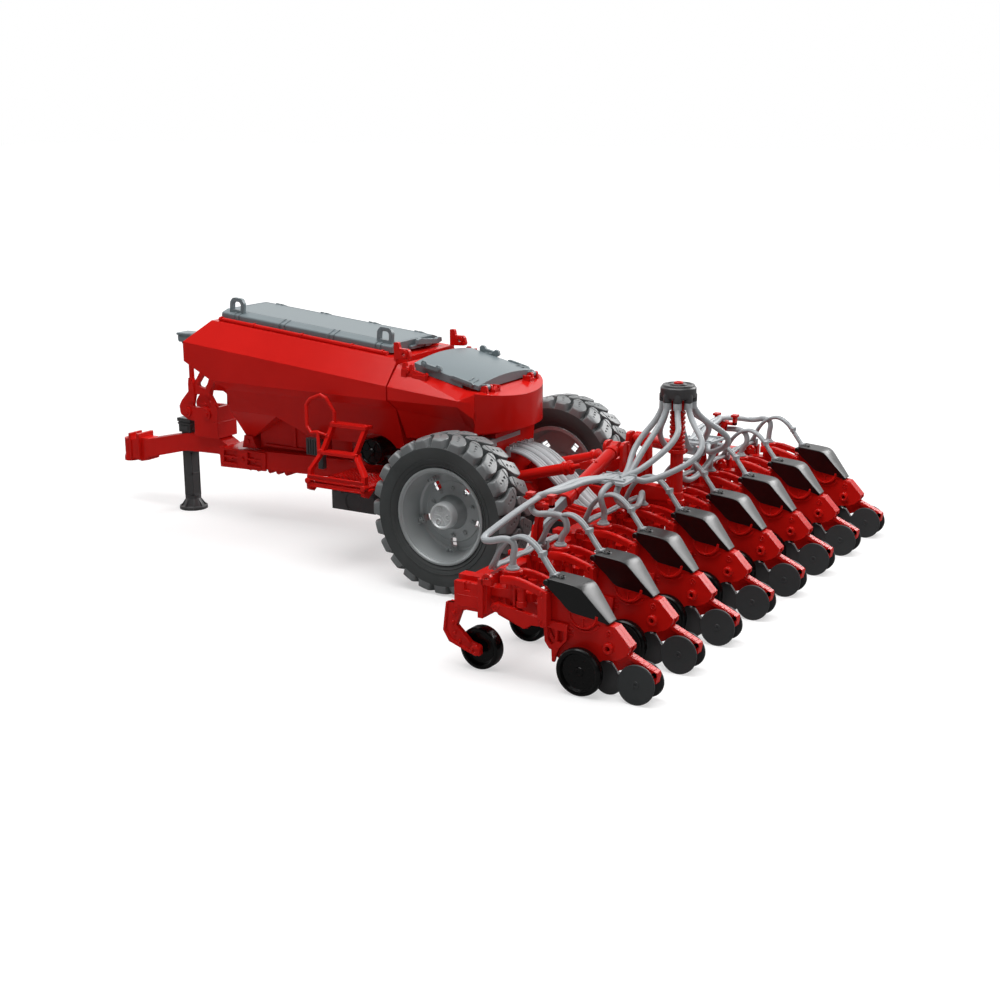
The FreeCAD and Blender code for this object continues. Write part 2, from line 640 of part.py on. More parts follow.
def build_front_lid():
    """Shallow lid with four ribbed straps and two carrying handles."""
    z0 = TANK_TOP_Z1 + 1.6
    z1 = z0 + LID_H
    w = LID_HALF_W
    outer = cross_plate([(-w, z0), (-w, z1 - 2.2, 1.5), (-w + 7, z1, 5), (w - 7, z1, 5),
                         (w, z1 - 2.2, 1.5), (w, z0)],
                        LID_X0, LID_X1)
    t = LID_WALL
    inner = cross_plate([(-w + t, z0 - 1), (-w + t, z1 - 2.2 - t), (-w + 7, z1 - t), (w - 7, z1 - t),
                         (w - t, z1 - 2.2 - t), (w - t, z0 - 1)], LID_X0 + t, LID_X1 - t)
    lid = outer.cut(inner)
    straps = []
    rib = 0.8
    open_top = box(LID_X0 - 1, LID_X1 + 1, -w + 8, w - 8, z0 - 2, z1 + 3)
    for x in (98.0, 142.0, 190.0, 236.0):
        for dx in (-3.2, 1.4):
            band = cross_plate([(-w - rib, z0), (-w - rib, z1 - 2, 1.5), (-w + 7, z1 + rib, 5),
                                (w - 7, z1 + rib, 5),
                                (w + rib, z1 - 2, 1.5), (w + rib, z0)], x + dx, x + dx + 1.8)
            straps.append(band.cut(open_top).cut(inner))
    handles = []
    for x in (94.0, 238.0):
        loop = side_plate([(x - 7, z1 - 3), (x - 7, z1 + 7, 3.4), (x - 4.5, z1 + 10.6, 3),
                           (x + 4.5, z1 + 10.6, 3),
                           (x + 7, z1 + 7, 3.4), (x + 7, z1 - 3)], w - 6, w - 3)
        gap = side_plate([(x - 4, z1 + 1.2), (x - 4, z1 + 6, 1.5), (x - 2.5, z1 + 7.8, 1.5),
                          (x + 2.5, z1 + 7.8, 1.5),
                          (x + 4, z1 + 6, 1.5), (x + 4, z1 + 1.2)], w - 7, w - 2)
        handles.append(loop.cut(gap).cut(inner))
    latch = box(LID_X0 - 3, LID_X0 + 1, -9, 9, z0 + 0.5, z0 + 2.5)
    return tilted(fuse([lid] + straps + handles + [latch]))


save("front_tank", build_tank())
save("front_lid", build_front_lid())


# ---------------------------------------------------------------------------
# rear hopper: hollow, with a bulged rear wall, and its arched lid
# ---------------------------------------------------------------------------
HOP_SLOPE = (HOP_TOP_Z1 - HOP_TOP_Z0) / (HOP_X1 - HOP_X0)


def hop_top(x):
    return HOP_TOP_Z0 + (x - HOP_X0) * HOP_SLOPE


def bulge(x0, x1, half, z0, z1):
    """Block whose rear is one arc in plan, from (x1, +-half) through (x0, 0)."""
    arc = Part.Arc(V(x1, half, z0), V(x0, 0, z0), V(x1, -half, z0)).toShape()
    back = Part.LineSegment(V(x1, -half, z0), V(x1 + 1, -half, z0)).toShape()
    chord = Part.LineSegment(V(x1 + 1, -half, z0), V(x1 + 1, half, z0)).toShape()
    front = Part.LineSegment(V(x1 + 1, half, z0), V(x1, half, z0)).toShape()
    return Part.Face(Part.Wire([arc, back, chord, front])).extrude(V(0, 0, z1 - z0))


def hopper_form(inset):
    """Sections from the joint with the tank to the bulged rear wall."""
    side = inset * 1.15
    joint = [(30, HOP_FLOOR_Z + inset), (42, 118), (HOP_HALF_W, 127), (HOP_HALF_W, 137),
             (42, hop_top(HOP_X1) - HOP_SHOULDER - 2 - inset),
             (39.5, hop_top(HOP_X1) - HOP_SHOULDER - inset)]
    knee = [(36, HOP_KNEE_Z + inset), (44, 114), (HOP_HALF_W, 127.5), (HOP_HALF_W, 132 - inset / 2),
            (HOP_HALF_W - 1, 132.4 - inset), (40.5, hop_top(HOP_KNEE_X) - HOP_SHOULDER - inset)]
    rear = [(39, HOP_BACK_Z + inset), (45, 109.2 + inset / 2), (50, 119), (48.5, 130),
            (HOP_BACK_HALF_W, 136.6 - inset), (40.5, hop_top(HOP_BACK_X) - 0.6 - inset)]
    wires = []
    for x, half in ((HOP_X1 - SEAT_GAP - inset, joint), (HOP_KNEE_X, knee), (HOP_BACK_X, rear)):
        points = [V(x, y - side, z) for y, z in half] + [V(x, -y + side, z) for y, z in reversed(half)]
        wires.append(Part.makePolygon(points + points[:1]))
    body = Part.makeLoft(wires, True, True)
    back = bulge(HOP_BULGE_X + inset, HOP_BACK_X, HOP_BACK_HALF_W - 2 * side, HOP_BULGE_Z + inset, 150)
    far = HOP_BACK_X - 60
    above = side_plate([(far, hop_top(far) - inset - 0.6),
                        (HOP_BACK_X + 8, hop_top(HOP_BACK_X + 8) - inset - 0.6),
                        (HOP_BACK_X + 8, 170), (far, 170)], -60, 60)
    return fuse([body, back.cut(above)])


def along_hopper(wire, x0, x1):
    """Extrude a cross outline down the slope of the hopper top."""
    return Part.Face(wire).extrude(V(x1 - x0, 0, (x1 - x0) * HOP_SLOPE))


def arched(half, low, edge, crown, x):
    """Closed outline with an arched top, heights above the hopper top."""
    base = hop_top(x)
    a, b = V(x, -half, base + low), V(x, half, base + low)
    c, d = V(x, half, base + edge), V(x, -half, base + edge)
    top = Part.Arc(c, V(x, 0, base + crown), d).toShape()
    return Part.Wire([Part.LineSegment(a, b).toShape(), Part.LineSegment(b, c).toShape(), top,
                      Part.LineSegment(d, a).toShape()])


HINGE_Z = hop_top(HINGE_X) + HINGE_RISE


def build_hopper():
    outer = hopper_form(0.0)
    rim = along_hopper(arched(HLID_HALF_W - 3, -HOP_SHOULDER - 2, 1.2, 4.2, HLID_X0 + 4), HLID_X0 + 4,
                       HLID_X1 - 3)
    mouth = along_hopper(arched(HLID_HALF_W - 5, -6, 2.2, 6.2, HLID_X0 + 6), HLID_X0 + 6, HLID_X1 - 5)
    lip = bulge(HOP_BULGE_X + 9, HOP_BACK_X, HOP_BACK_HALF_W - 9, HOP_LIP_Z, HOP_BULGE_Z + 0.1)
    hopper = fuse([outer, rim, lip]).cut(hopper_form(WALL)).cut(mouth)
    ears = []
    z = hop_top(HINGE_X)
    for y in HINGE_YS:
        ear = side_plate([(HINGE_X - 4, z - 3), (HINGE_X + 3, z - 1), (HINGE_X + 2, HINGE_Z + 1, 1.5),
                          (HINGE_X - 2, HINGE_Z + 2, 1.5)], y + 2.4, y + 4.6)
        inner_ear = side_plate([(HINGE_X - 4, z - 3), (HINGE_X + 3, z - 1), (HINGE_X + 2, HINGE_Z + 1, 1.5),
                                (HINGE_X - 2, HINGE_Z + 2, 1.5)], y - 4.6, y - 2.4)
        ears += [ear, inner_ear, pin_y(HINGE_X, y - 4.6, y + 4.6, HINGE_Z, HINGE_PIN_R)]
    return fuse([hopper] + ears)


def build_rear_lid():
    outer = along_hopper(arched(HLID_HALF_W, 0.3, 3.6, 7.2, HLID_X0), HLID_X0, HLID_X1)
    inner = along_hopper(arched(HLID_HALF_W - LID_WALL, -1, 2.2, 5.6, HLID_X0 + LID_WALL),
                         HLID_X0 + LID_WALL,
                         HLID_X1 - LID_WALL)
    lid = outer.cut(inner)
    knuckles = []
    for y in HINGE_YS:
        arm = side_plate([(HINGE_X, HINGE_Z - 1.6), (HLID_X0 + LID_WALL + 0.5, hop_top(HLID_X0) + 1.2),
                          (HLID_X0 + LID_WALL + 0.5, hop_top(HLID_X0) + 3.6), (HINGE_X, HINGE_Z + 1.8)],
                          y - 2, y + 2)
        knuckles += [pin_y(HINGE_X, y - 2, y + 2, HINGE_Z, 2.2), arm]
    straps = []
    for x in (HLID_X0 + 5, HLID_X0 + 9):
        band = along_hopper(arched(HLID_HALF_W + 0.7, 0.3, 4.2, 7.8, x), x, x + 1.6)
        hollow = along_hopper(arched(HLID_HALF_W - 6, -1, 5.0, 9.0, x - 1), x - 1, x + 3)
        core = along_hopper(arched(HLID_HALF_W - LID_WALL, -1, 2.2, 5.6, x - 1), x - 1, x + 3)
        straps.append(band.cut(hollow).cut(core))
    skirt = []
    for s in (1, -1):
        plate = box(HLID_X0 + 14, HLID_X1 - 1, s * (HLID_HALF_W - 1.6), s * HLID_HALF_W, 0, 200)
        plate = plate.common(along_hopper(arched(HLID_HALF_W + 1, -HOP_SHOULDER + SEAT_GAP, 1, 2, HLID_X0),
                                          HLID_X0, HLID_X1))
        skirt.append(plate)
    lid = fuse([lid] + knuckles + straps + skirt)
    return lid.cut(Part.makeCompound([pin_y(HINGE_X, y - 3, y + 3, HINGE_Z,
                                            HINGE_PIN_R + RUN_GAP) for y in HINGE_YS]))


save("rear_hopper", build_hopper())
save("rear_lid", build_rear_lid())


# ---------------------------------------------------------------------------
# fittings on the chassis
# ---------------------------------------------------------------------------
def build_platform():
    """Ladder of three steps with kneed side bars and a hand loop, on the left."""
    rows = {"front": [(118.0, 61, 107), (121.5, 71, 87), (127.0, 80, 73.5), (127.0, 81.5, 62)],
            "rear": [(88.0, 61, 107), (91.5, 71, 87), (77.0, 80, 73.5), (77.0, 81.5, 62)]}
    bars = []
    for points in rows.values():
        for i in range(3):
            bars.append(slanted(points[i], points[i + 1], 3.2, 4.6))
            bars.append(slanted((points[i][0], points[i][1], points[i][2] - 1.6),
                                (points[i][0], points[i][1], points[i][2]), 3.2, 4.6))
    top = box(86.4, 119.6, 56, 65, 104.4, 107)
    mid = box(90, 123, 66, 75, 84.6, 87)
    for i in range(2):
        top = top.cut(box(84, 122, 58.4 + 3 * i, 59.2 + 3 * i, 106.2, 108))
        mid = mid.cut(box(88, 125, 68.4 + 3 * i, 69.2 + 3 * i, 86.2, 88))
    floor = box(78, 126, RAIL_HALF_W + 4, 81, 62, 64)
    kerb = box(75.4, 128.6, 80, 83.2, 61.4, 69.4).cut(box(79, 125, 79, 84, 64.6, 67.2))
    feet = []
    for x in (77.0, 127.0):
        feet.append(cross_plate([(83.2, 62.5), (83.2, 59), (79, 57), (70, 62.5)], x - 2, x + 2))
    legs = [box(84, 88, RAIL_HALF_W + 0.1, RAIL_HALF_W + 6, 56, 64), box(116, 120, RAIL_HALF_W + 0.1,
                                                                         RAIL_HALF_W + 6, 56, 64)]
    grip = [(125.1, 72, 83), (128.5, 68, 99.5), (135.2, 68, 98.6), (139.6, 67, 103), (142.1, 64, 118.4),
            (138.9, 63, 123.1),
            (130, 62, 127), (124.5, 62, 125), (118.1, 61, 114.8), (118.2, 61, 105)]
    loop = [rod(grip[i], grip[i + 1], GRIP_R) for i in range(len(grip) - 1)]
    loop += [Part.makeSphere(GRIP_R, V(*point)) for point in grip[1:-1]]
    brace = rod(grip[1], (120.0, 68, 98), GRIP_R - 0.3)
    stay = rod((120.0, 68, 98), (120.2, 66.5, 96.5), GRIP_R)
    foot = rod((125.1, 72, 86), (121.5, 71, 86), GRIP_R)
    return fuse([top, mid, floor, kerb, brace, stay, foot] + bars + feet + legs + loop)


def build_front_bracket():
    """Cast bracket on the drawbar: two windowed cheeks that reach up to the tank."""
    w0, w1 = BRACKET_HALF_W - 3.2, BRACKET_HALF_W
    post = box(277.5, 303, -w1, w1, CREST_Z1 + 0.1, 81)
    parts = [post]
    for s in (1, -1):
        cheek = side_plate([(284, 79), (278.5, 84, 3), (277.5, 94, 2), (285, 106, 2),
                            (TANK_X1 + SEAT_GAP, 128, 2),
                            (TANK_X1 + SEAT_GAP, TANK_NOSE_Z + 4), (280, TANK_NOSE_Z + 4, 2),
                            (298, 117.5, 3), (306, 107.5, 3),
                            (316, 97, 3), (319, 92, 3), (318, 85, 4), (310, 81, 4)], s * w0, s * w1)
        low = side_plate([(284.5, 92.5), (284, 102, 2), (288, 104, 2), (301, 103.5, 2), (304, 92.5)],
                         s * (w0 - 1), s * (w1 + 1), 1.2)
        high = side_plate([(288.5, 109), (279, 131, 2), (281, 133, 2), (298, 111, 2)], s * (w0 - 1),
                          s * (w1 + 1), 1.2)
        parts.append(cheek.cut(low).cut(high))
        for x in (288.5, 310.0):
            parts.append(pin_y(x, s * (w0 - 0.8), s * (w1 + 1.4), 87.5, 4.4))
            parts.append(pin_y(x, s * w1, s * (w1 + 2.2), 87.5, 1.8))
    web = box(277.8, 280.6, -w1, w1, 80, 94)
    deck = box(282, 308, -w1 + 1, w1 - 1, 81.4, 84)
    return fuse(parts + [web, deck])


def build_toolbox():
    return fuse([box(90, 131, RAIL_HALF_W + 2, 50, 36, 55), box(92, 96, RAIL_HALF_W + 0.1, 40, 50, 57),
                 box(124, 128, RAIL_HALF_W + 0.1, 40, 50, 57)])


def build_fan():
    drum = pin_y(102.5, 10, 36, 81, 10)
    base = box(96, 109, 12, 24, 68.3, 76)
    return fuse([drum, base])


save("platform", build_platform())
save("front_bracket", build_front_bracket())
save("toolbox", build_toolbox())
save("fan_housing", build_fan())


# ---------------------------------------------------------------------------
# toolbar: centre section with tower and lift arms, and two folding wings
# ---------------------------------------------------------------------------
KNUCKLE_R = 3.7
KNUCKLE_X = (BAR_X1, BAR_X1 - 4.0, BAR_X0 + 4.0, BAR_X0)
SNAP = 0.1
TOWER_FRONT_X = -90.0
TOWER_REAR_X = -103.4
TOWER_T = 2.6
ARM_SIDE_T = 4.0


def bar_tube(y0, y1):
    tube = box(BAR_X0, BAR_X1, y0, y1, BAR_Z0, BAR_Z1)
    bore = box(BAR_X0 + BAR_WALL, BAR_X1 - BAR_WALL, y0 - 1, y1 + 1, BAR_Z0 + BAR_WALL, BAR_Z1 - BAR_WALL)
    return tube.cut(bore)


def build_toolbar_centre():
    end = FOLD_Y - FOLD_GAP
    parts = [bar_tube(-end, end)]
    k1, k2 = KNUCKLE_X[1] - SIDE_GAP, KNUCKLE_X[2] + SIDE_GAP
    knuckle = fuse([pin_x(k1, k2, FOLD_Y, FOLD_Z, KNUCKLE_R),
                    box(k2, k1, end - 6, FOLD_Y, BAR_Z1 - BAR_WALL, FOLD_Z)])
    knuckle = knuckle.cut(pin_x(k1 + 1, k2 - 1, FOLD_Y, FOLD_Z, PIN_R + RUN_GAP))
    knuckle = knuckle.cut(box(k2 - 1, k1 + 1, FOLD_Y + 0.001, FOLD_Y + 9, BAR_Z1 - 5,
                              FOLD_Z - KNUCKLE_R + 0.02))
    parts += both_sides(knuckle)
    outline_pts = [(-25, BAR_Z1 - 1), (25, BAR_Z1 - 1), (25, 80), (23.5, TOWER_TOP_Z, 4),
                   (13, TOWER_TOP_Z, 3), (10, 92),
                   (-10, 92), (-13, TOWER_TOP_Z, 3), (-23.5, TOWER_TOP_Z, 4), (-25, 80)]
    window = [(-14, 64), (14, 64), (12, 84), (-12, 84)]
    for x in (TOWER_FRONT_X, TOWER_REAR_X):
        plate = cross_plate(outline_pts, x, x - TOWER_T)
        parts.append(plate.cut(cross_plate(window, x + 1, x - TOWER_T - 1, 2)))
    parts += both_sides(box(TOWER_FRONT_X - 1, TOWER_REAR_X - 1, 22, 24.8, BAR_Z1 - 1, 84))
    parts += both_sides(pin_x(TOWER_FRONT_X - 1, TOWER_REAR_X - 1, FOLD_CYL_Y0, FOLD_CYL_Z0, PIN_R))
    lug = side_plate([(TOWER_FRONT_X - 1, 78), (TOWER_FRONT_X - 1, 98), (LINK_X1 - 3, TOWER_Z + 3, 3),
                      (LINK_X1 + 4, TOWER_Z + 3, 3), (LINK_X1 + 4, TOWER_Z - 4, 3), (LINK_X1 - 2, 78, 2)],
                     LINK_Y - 1.3, LINK_Y + 1.3)
    parts += both_sides(lug)
    y0 = RAIL_HALF_W + SIDE_GAP
    arm = side_plate([(LIFT_X + 5, LIFT_Z - 5, 4), (LIFT_X + 5, LIFT_Z + 5, 4), (-60, 61, 4),
                      (BAR_X1 + 4, BAR_Z1, 4),
                      (BAR_X1 - 1, BAR_Z1), (BAR_X1 - 1, BAR_Z0), (BAR_X1 + 4, BAR_Z0, 4), (-60, 46, 4)],
                      y0, y0 + ARM_SIDE_T)
    lift_pin = pin_y(LIFT_X, RAIL_HALF_W - RAIL_T - 0.5, y0 + 1, LIFT_Z, PIN_R)
    parts += both_sides(arm) + both_sides(lift_pin)
    return fuse(parts)


def build_wing(side):
    start = FOLD_Y + FOLD_GAP
    parts = [bar_tube(start, BAR_END_Y)]
    for a, b in ((KNUCKLE_X[0], KNUCKLE_X[1]), (KNUCKLE_X[2], KNUCKLE_X[3])):
        parts.append(pin_x(a, b, FOLD_Y, FOLD_Z, KNUCKLE_R))
        parts.append(box(a, b, FOLD_Y, start + 6, BAR_Z1 + 0.3, FOLD_Z))
        parts.append(box(a, b, start + 0.3, start + 6, BAR_Z1 - 1, FOLD_Z))
    parts.append(pin_x(KNUCKLE_X[0] - 1, KNUCKLE_X[3] + 1, FOLD_Y, FOLD_Z, PIN_R))
    lug = cross_plate([(FOLD_Y + 3, BAR_Z1 - 1), (FOLD_PIN_Y + 9, BAR_Z1 - 1),
                       (FOLD_PIN_Y + 4, FOLD_PIN_Z + 2, 3),
                       (FOLD_PIN_Y, FOLD_PIN_Z + 4, 3), (FOLD_PIN_Y - 4, FOLD_PIN_Z + 2, 3)],
                      FOLD_CYL_X - 1.5, FOLD_CYL_X + 1.5)
    lug = lug.cut(pin_x(-120, -80, FOLD_Y, FOLD_Z, KNUCKLE_R + SIDE_GAP))
    parts.append(lug)
    parts.append(rod((BAR_X0 + 1.0, FOLD_Y + 14, BAR_Z1 - 1),
                     (BAR_X0 + 1.0, FOLD_Y + 6, CLIP_Z - HOSE_D / 2 - 1), 1.5))
    rear = CLIP_X - HOSE_PITCH / 2 - CLIP_R - HOSE_D / 2 - SNAP
    front = CLIP_X + HOSE_PITCH / 2 + CLIP_R + HOSE_D / 2 + SNAP
    parts.append(pin_x(rear, front, FOLD_Y + 6, CLIP_Z - HOSE_D / 2 - CLIP_R - SNAP, CLIP_R))
    parts += [rod((x, FOLD_Y + 6, CLIP_Z - HOSE_D / 2 - CLIP_R - SNAP), (x, FOLD_Y + 6, CLIP_Z + 2),
                  CLIP_R) for x in (rear, front)]
    parts.append(box(BAR_X0, BAR_X1, BAR_END_Y - 1, BAR_END_Y, BAR_Z0, BAR_Z1))
    for y in (ROW_Y[1], ROW_Y[0]):
        inner = y + SUPPORT_W / 2 + SIDE_GAP
        arm = side_plate([(SUPPORT_X - 3.5, SUPPORT_R - 3.5, 3), (SUPPORT_X - 3.5, SUPPORT_R + 3.5, 3),
                          (-88, 27, 2),
                          (-94, BAR_Z0 + 1), (-82, BAR_Z0 + 1), (-78, 24, 4), (-82, 17, 4)], inner,
                          inner + 2.6)
        stub = pin_y(SUPPORT_X, y - SUPPORT_W / 2 + 0.6, inner + 1, SUPPORT_R, PIN_R)
        shelf = box(-94, -84, y + 4.4, inner + 2.6, BAR_Z0 - 3, BAR_Z0 + 1)
        parts += [arm, stub, shelf]
    wing = fuse(parts)
    return wing if side > 0 else mirrored(wing)


save("toolbar_centre", build_toolbar_centre())
save("toolbar_left", build_wing(1))
save("toolbar_right", build_wing(-1))


# ---------------------------------------------------------------------------
# lift and fold cylinders
# ---------------------------------------------------------------------------
def cylinder_pair(length, eye_w, eye_r, barrel_r, ram_size, stroke, reach, collars):
    """Barrel with its eye at the origin and ram with its fork at length,
    both along +X with the pins along Y.  ram_size is (thickness, height) of
    the ram along and across the pins; equal values make it round."""
    eye = pin_y(0, -eye_w / 2, eye_w / 2, 0, eye_r)
    end = length - stroke - reach - 4
    parts = [eye, pin_x(eye_r - 1.5, end, 0, 0, barrel_r), pin_x(end - 4, end, 0, 0, barrel_r + 0.6)]
    parts += [pin_x(end * share, end * share + 1.8, 0, 0, barrel_r + 0.9) for share in collars]
    barrel = fuse(parts)
    base = length - reach

    def ram_form(x0, x1, play):
        thick, high = ram_size
        if thick == high:
            return pin_x(x0, x1, 0, 0, thick / 2 + play)
        return box(x0, x1, -thick / 2 - play, thick / 2 + play, -high / 2 - play, high / 2 + play)

    barrel = barrel.cut(ram_form(eye_r + 3, end + 1, RUN_GAP)).cut(pin_y(0, -9, 9, 0, PIN_R + RUN_GAP))
    ram = ram_form(end - 6, base + 1, 0)
    root = box(base - 1, base + 2.0, -4.3, 4.3, -2.6, 2.6)
    cheeks = []
    for s in (1, -1):
        cheek = side_plate([(base, -2.6), (base, 2.6), (length + 2.8, 2.8, 2.6),
                            (length + 2.8, -2.8, 2.6)], s * 1.7, s * 4.3)
        cheeks += [cheek, pin_y(length, s * 4.2, s * 5.0, 0, PIN_R)]
    return barrel, fuse([ram, root] + cheeks)


def aim(shape, start, end, pins_along_x):
    """Carry a piece built along +X to the line from start to end."""
    shape = shape.copy()
    a, b = V(*start), V(*end)
    if pins_along_x:
        shape.rotate(V(0, 0, 0), V(0, 0, 1), 90)
        angle = math.degrees(math.atan2(b.z - a.z, b.y - a.y))
        shape.rotate(V(0, 0, 0), V(1, 0, 0), angle)
    else:
        angle = math.degrees(math.atan2(b.z - a.z, b.x - a.x))
        shape.rotate(V(0, 0, 0), V(0, 1, 0), -angle)
    shape.translate(a)
    return shape


lift_len = math.hypot(LINK_X1 - TOP_LINK_X0, TOWER_Z - TOP_LINK_Z0)
lift_barrel, lift_rod = cylinder_pair(lift_len, LINK_EYE_W, 3.8, LINK_BARREL_R,
                                      (2 * LINK_ROD_R, 2 * LINK_ROD_R), 6.0, 8.0,
                                      (0.42, 0.74))
lift_start, lift_end = (TOP_LINK_X0, LINK_Y, TOP_LINK_Z0), (LINK_X1, LINK_Y, TOWER_Z)
save("lift_barrels", both_sides(aim(lift_barrel, lift_start, lift_end, False)))
save("lift_rods", both_sides(aim(lift_rod, lift_start, lift_end, False)))
fold_len = math.hypot(FOLD_PIN_Y - FOLD_CYL_Y0, FOLD_PIN_Z - FOLD_CYL_Z0)
fold_barrel, fold_rod = cylinder_pair(fold_len, 5.2, 5.0, FOLD_BARREL_R, (FOLD_BAR_T, FOLD_BAR_W), 20.0,
                                      9.0, ())
fold_start, fold_end = (FOLD_CYL_X, FOLD_CYL_Y0, FOLD_CYL_Z0), (FOLD_CYL_X, FOLD_PIN_Y, FOLD_PIN_Z)
for side_name, side in (("left", 1), ("right", -1)):
    for name, piece in (("fold_barrel_", fold_barrel), ("fold_rod_", fold_rod)):
        placed = aim(piece, fold_start, fold_end, True)
        save(name + side_name, placed if side > 0 else mirrored(placed))


# ---------------------------------------------------------------------------
# distributor mast and head
# ---------------------------------------------------------------------------
def build_mast():
    profile = [(0, 64), (MAST_R, 64), (MAST_R, BELLOWS_Z)]
    z = BELLOWS_Z
    while z < HEAD_Z0 - 8:
        profile += [(MAST_R + 1, z + 0.8), (MAST_R + 1, z + 2.0), (MAST_R, z + 2.8)]
        z += BELLOWS_PITCH
    profile += [(MAST_R, HEAD_Z0), (0, HEAD_Z0)]
    tube = turned(profile, (MAST_X, 0, 0), (0, 0, 1))
    arm = side_plate([(MAST_X, 66), (MAST_X, 74), (TOWER_REAR_X - TOWER_T - SNAP, 76),
                      (TOWER_REAR_X - TOWER_T - SNAP, 64)],
                     -4, 4)
    return fuse([tube, arm])


def build_head():
    """Eight-way head: a drum with a socket over each hose and a cap."""
    body = turned([(0, HEAD_Z0 + SNAP), (HEAD_R - 3, HEAD_Z0 + SNAP), (HEAD_R - 2.4, HEAD_Z0 + 4),
                   (HEAD_R - 2.4, HEAD_Z1 - 4),
                   (HEAD_R - 4, HEAD_Z1 - 1.2), (HEAD_R - 7, HEAD_Z1 - 0.6), (HEAD_R - 7.4, HEAD_Z1),
                   (0, HEAD_Z1)],
                  (MAST_X, 0, 0), (0, 0, 1))
    sockets = []
    for k in range(8):
        a = math.radians(22.5 + 45 * k)
        x, y = MAST_X + HOSE_OUT_R * math.cos(a), HOSE_OUT_R * math.sin(a)
        sockets.append(turned([(0, 0), (HOSE_D / 2 + 0.3, 0), (HOSE_D / 2 + 0.3, 7.4),
                               (HOSE_D / 2 - 0.8, 8.4), (0, 8.4)],
                              (x, y, HEAD_Z0 + SNAP), (0, 0, 1)))
    return fuse([body] + sockets)


save("distributor_mast", build_mast())
save("distributor_head", build_head())


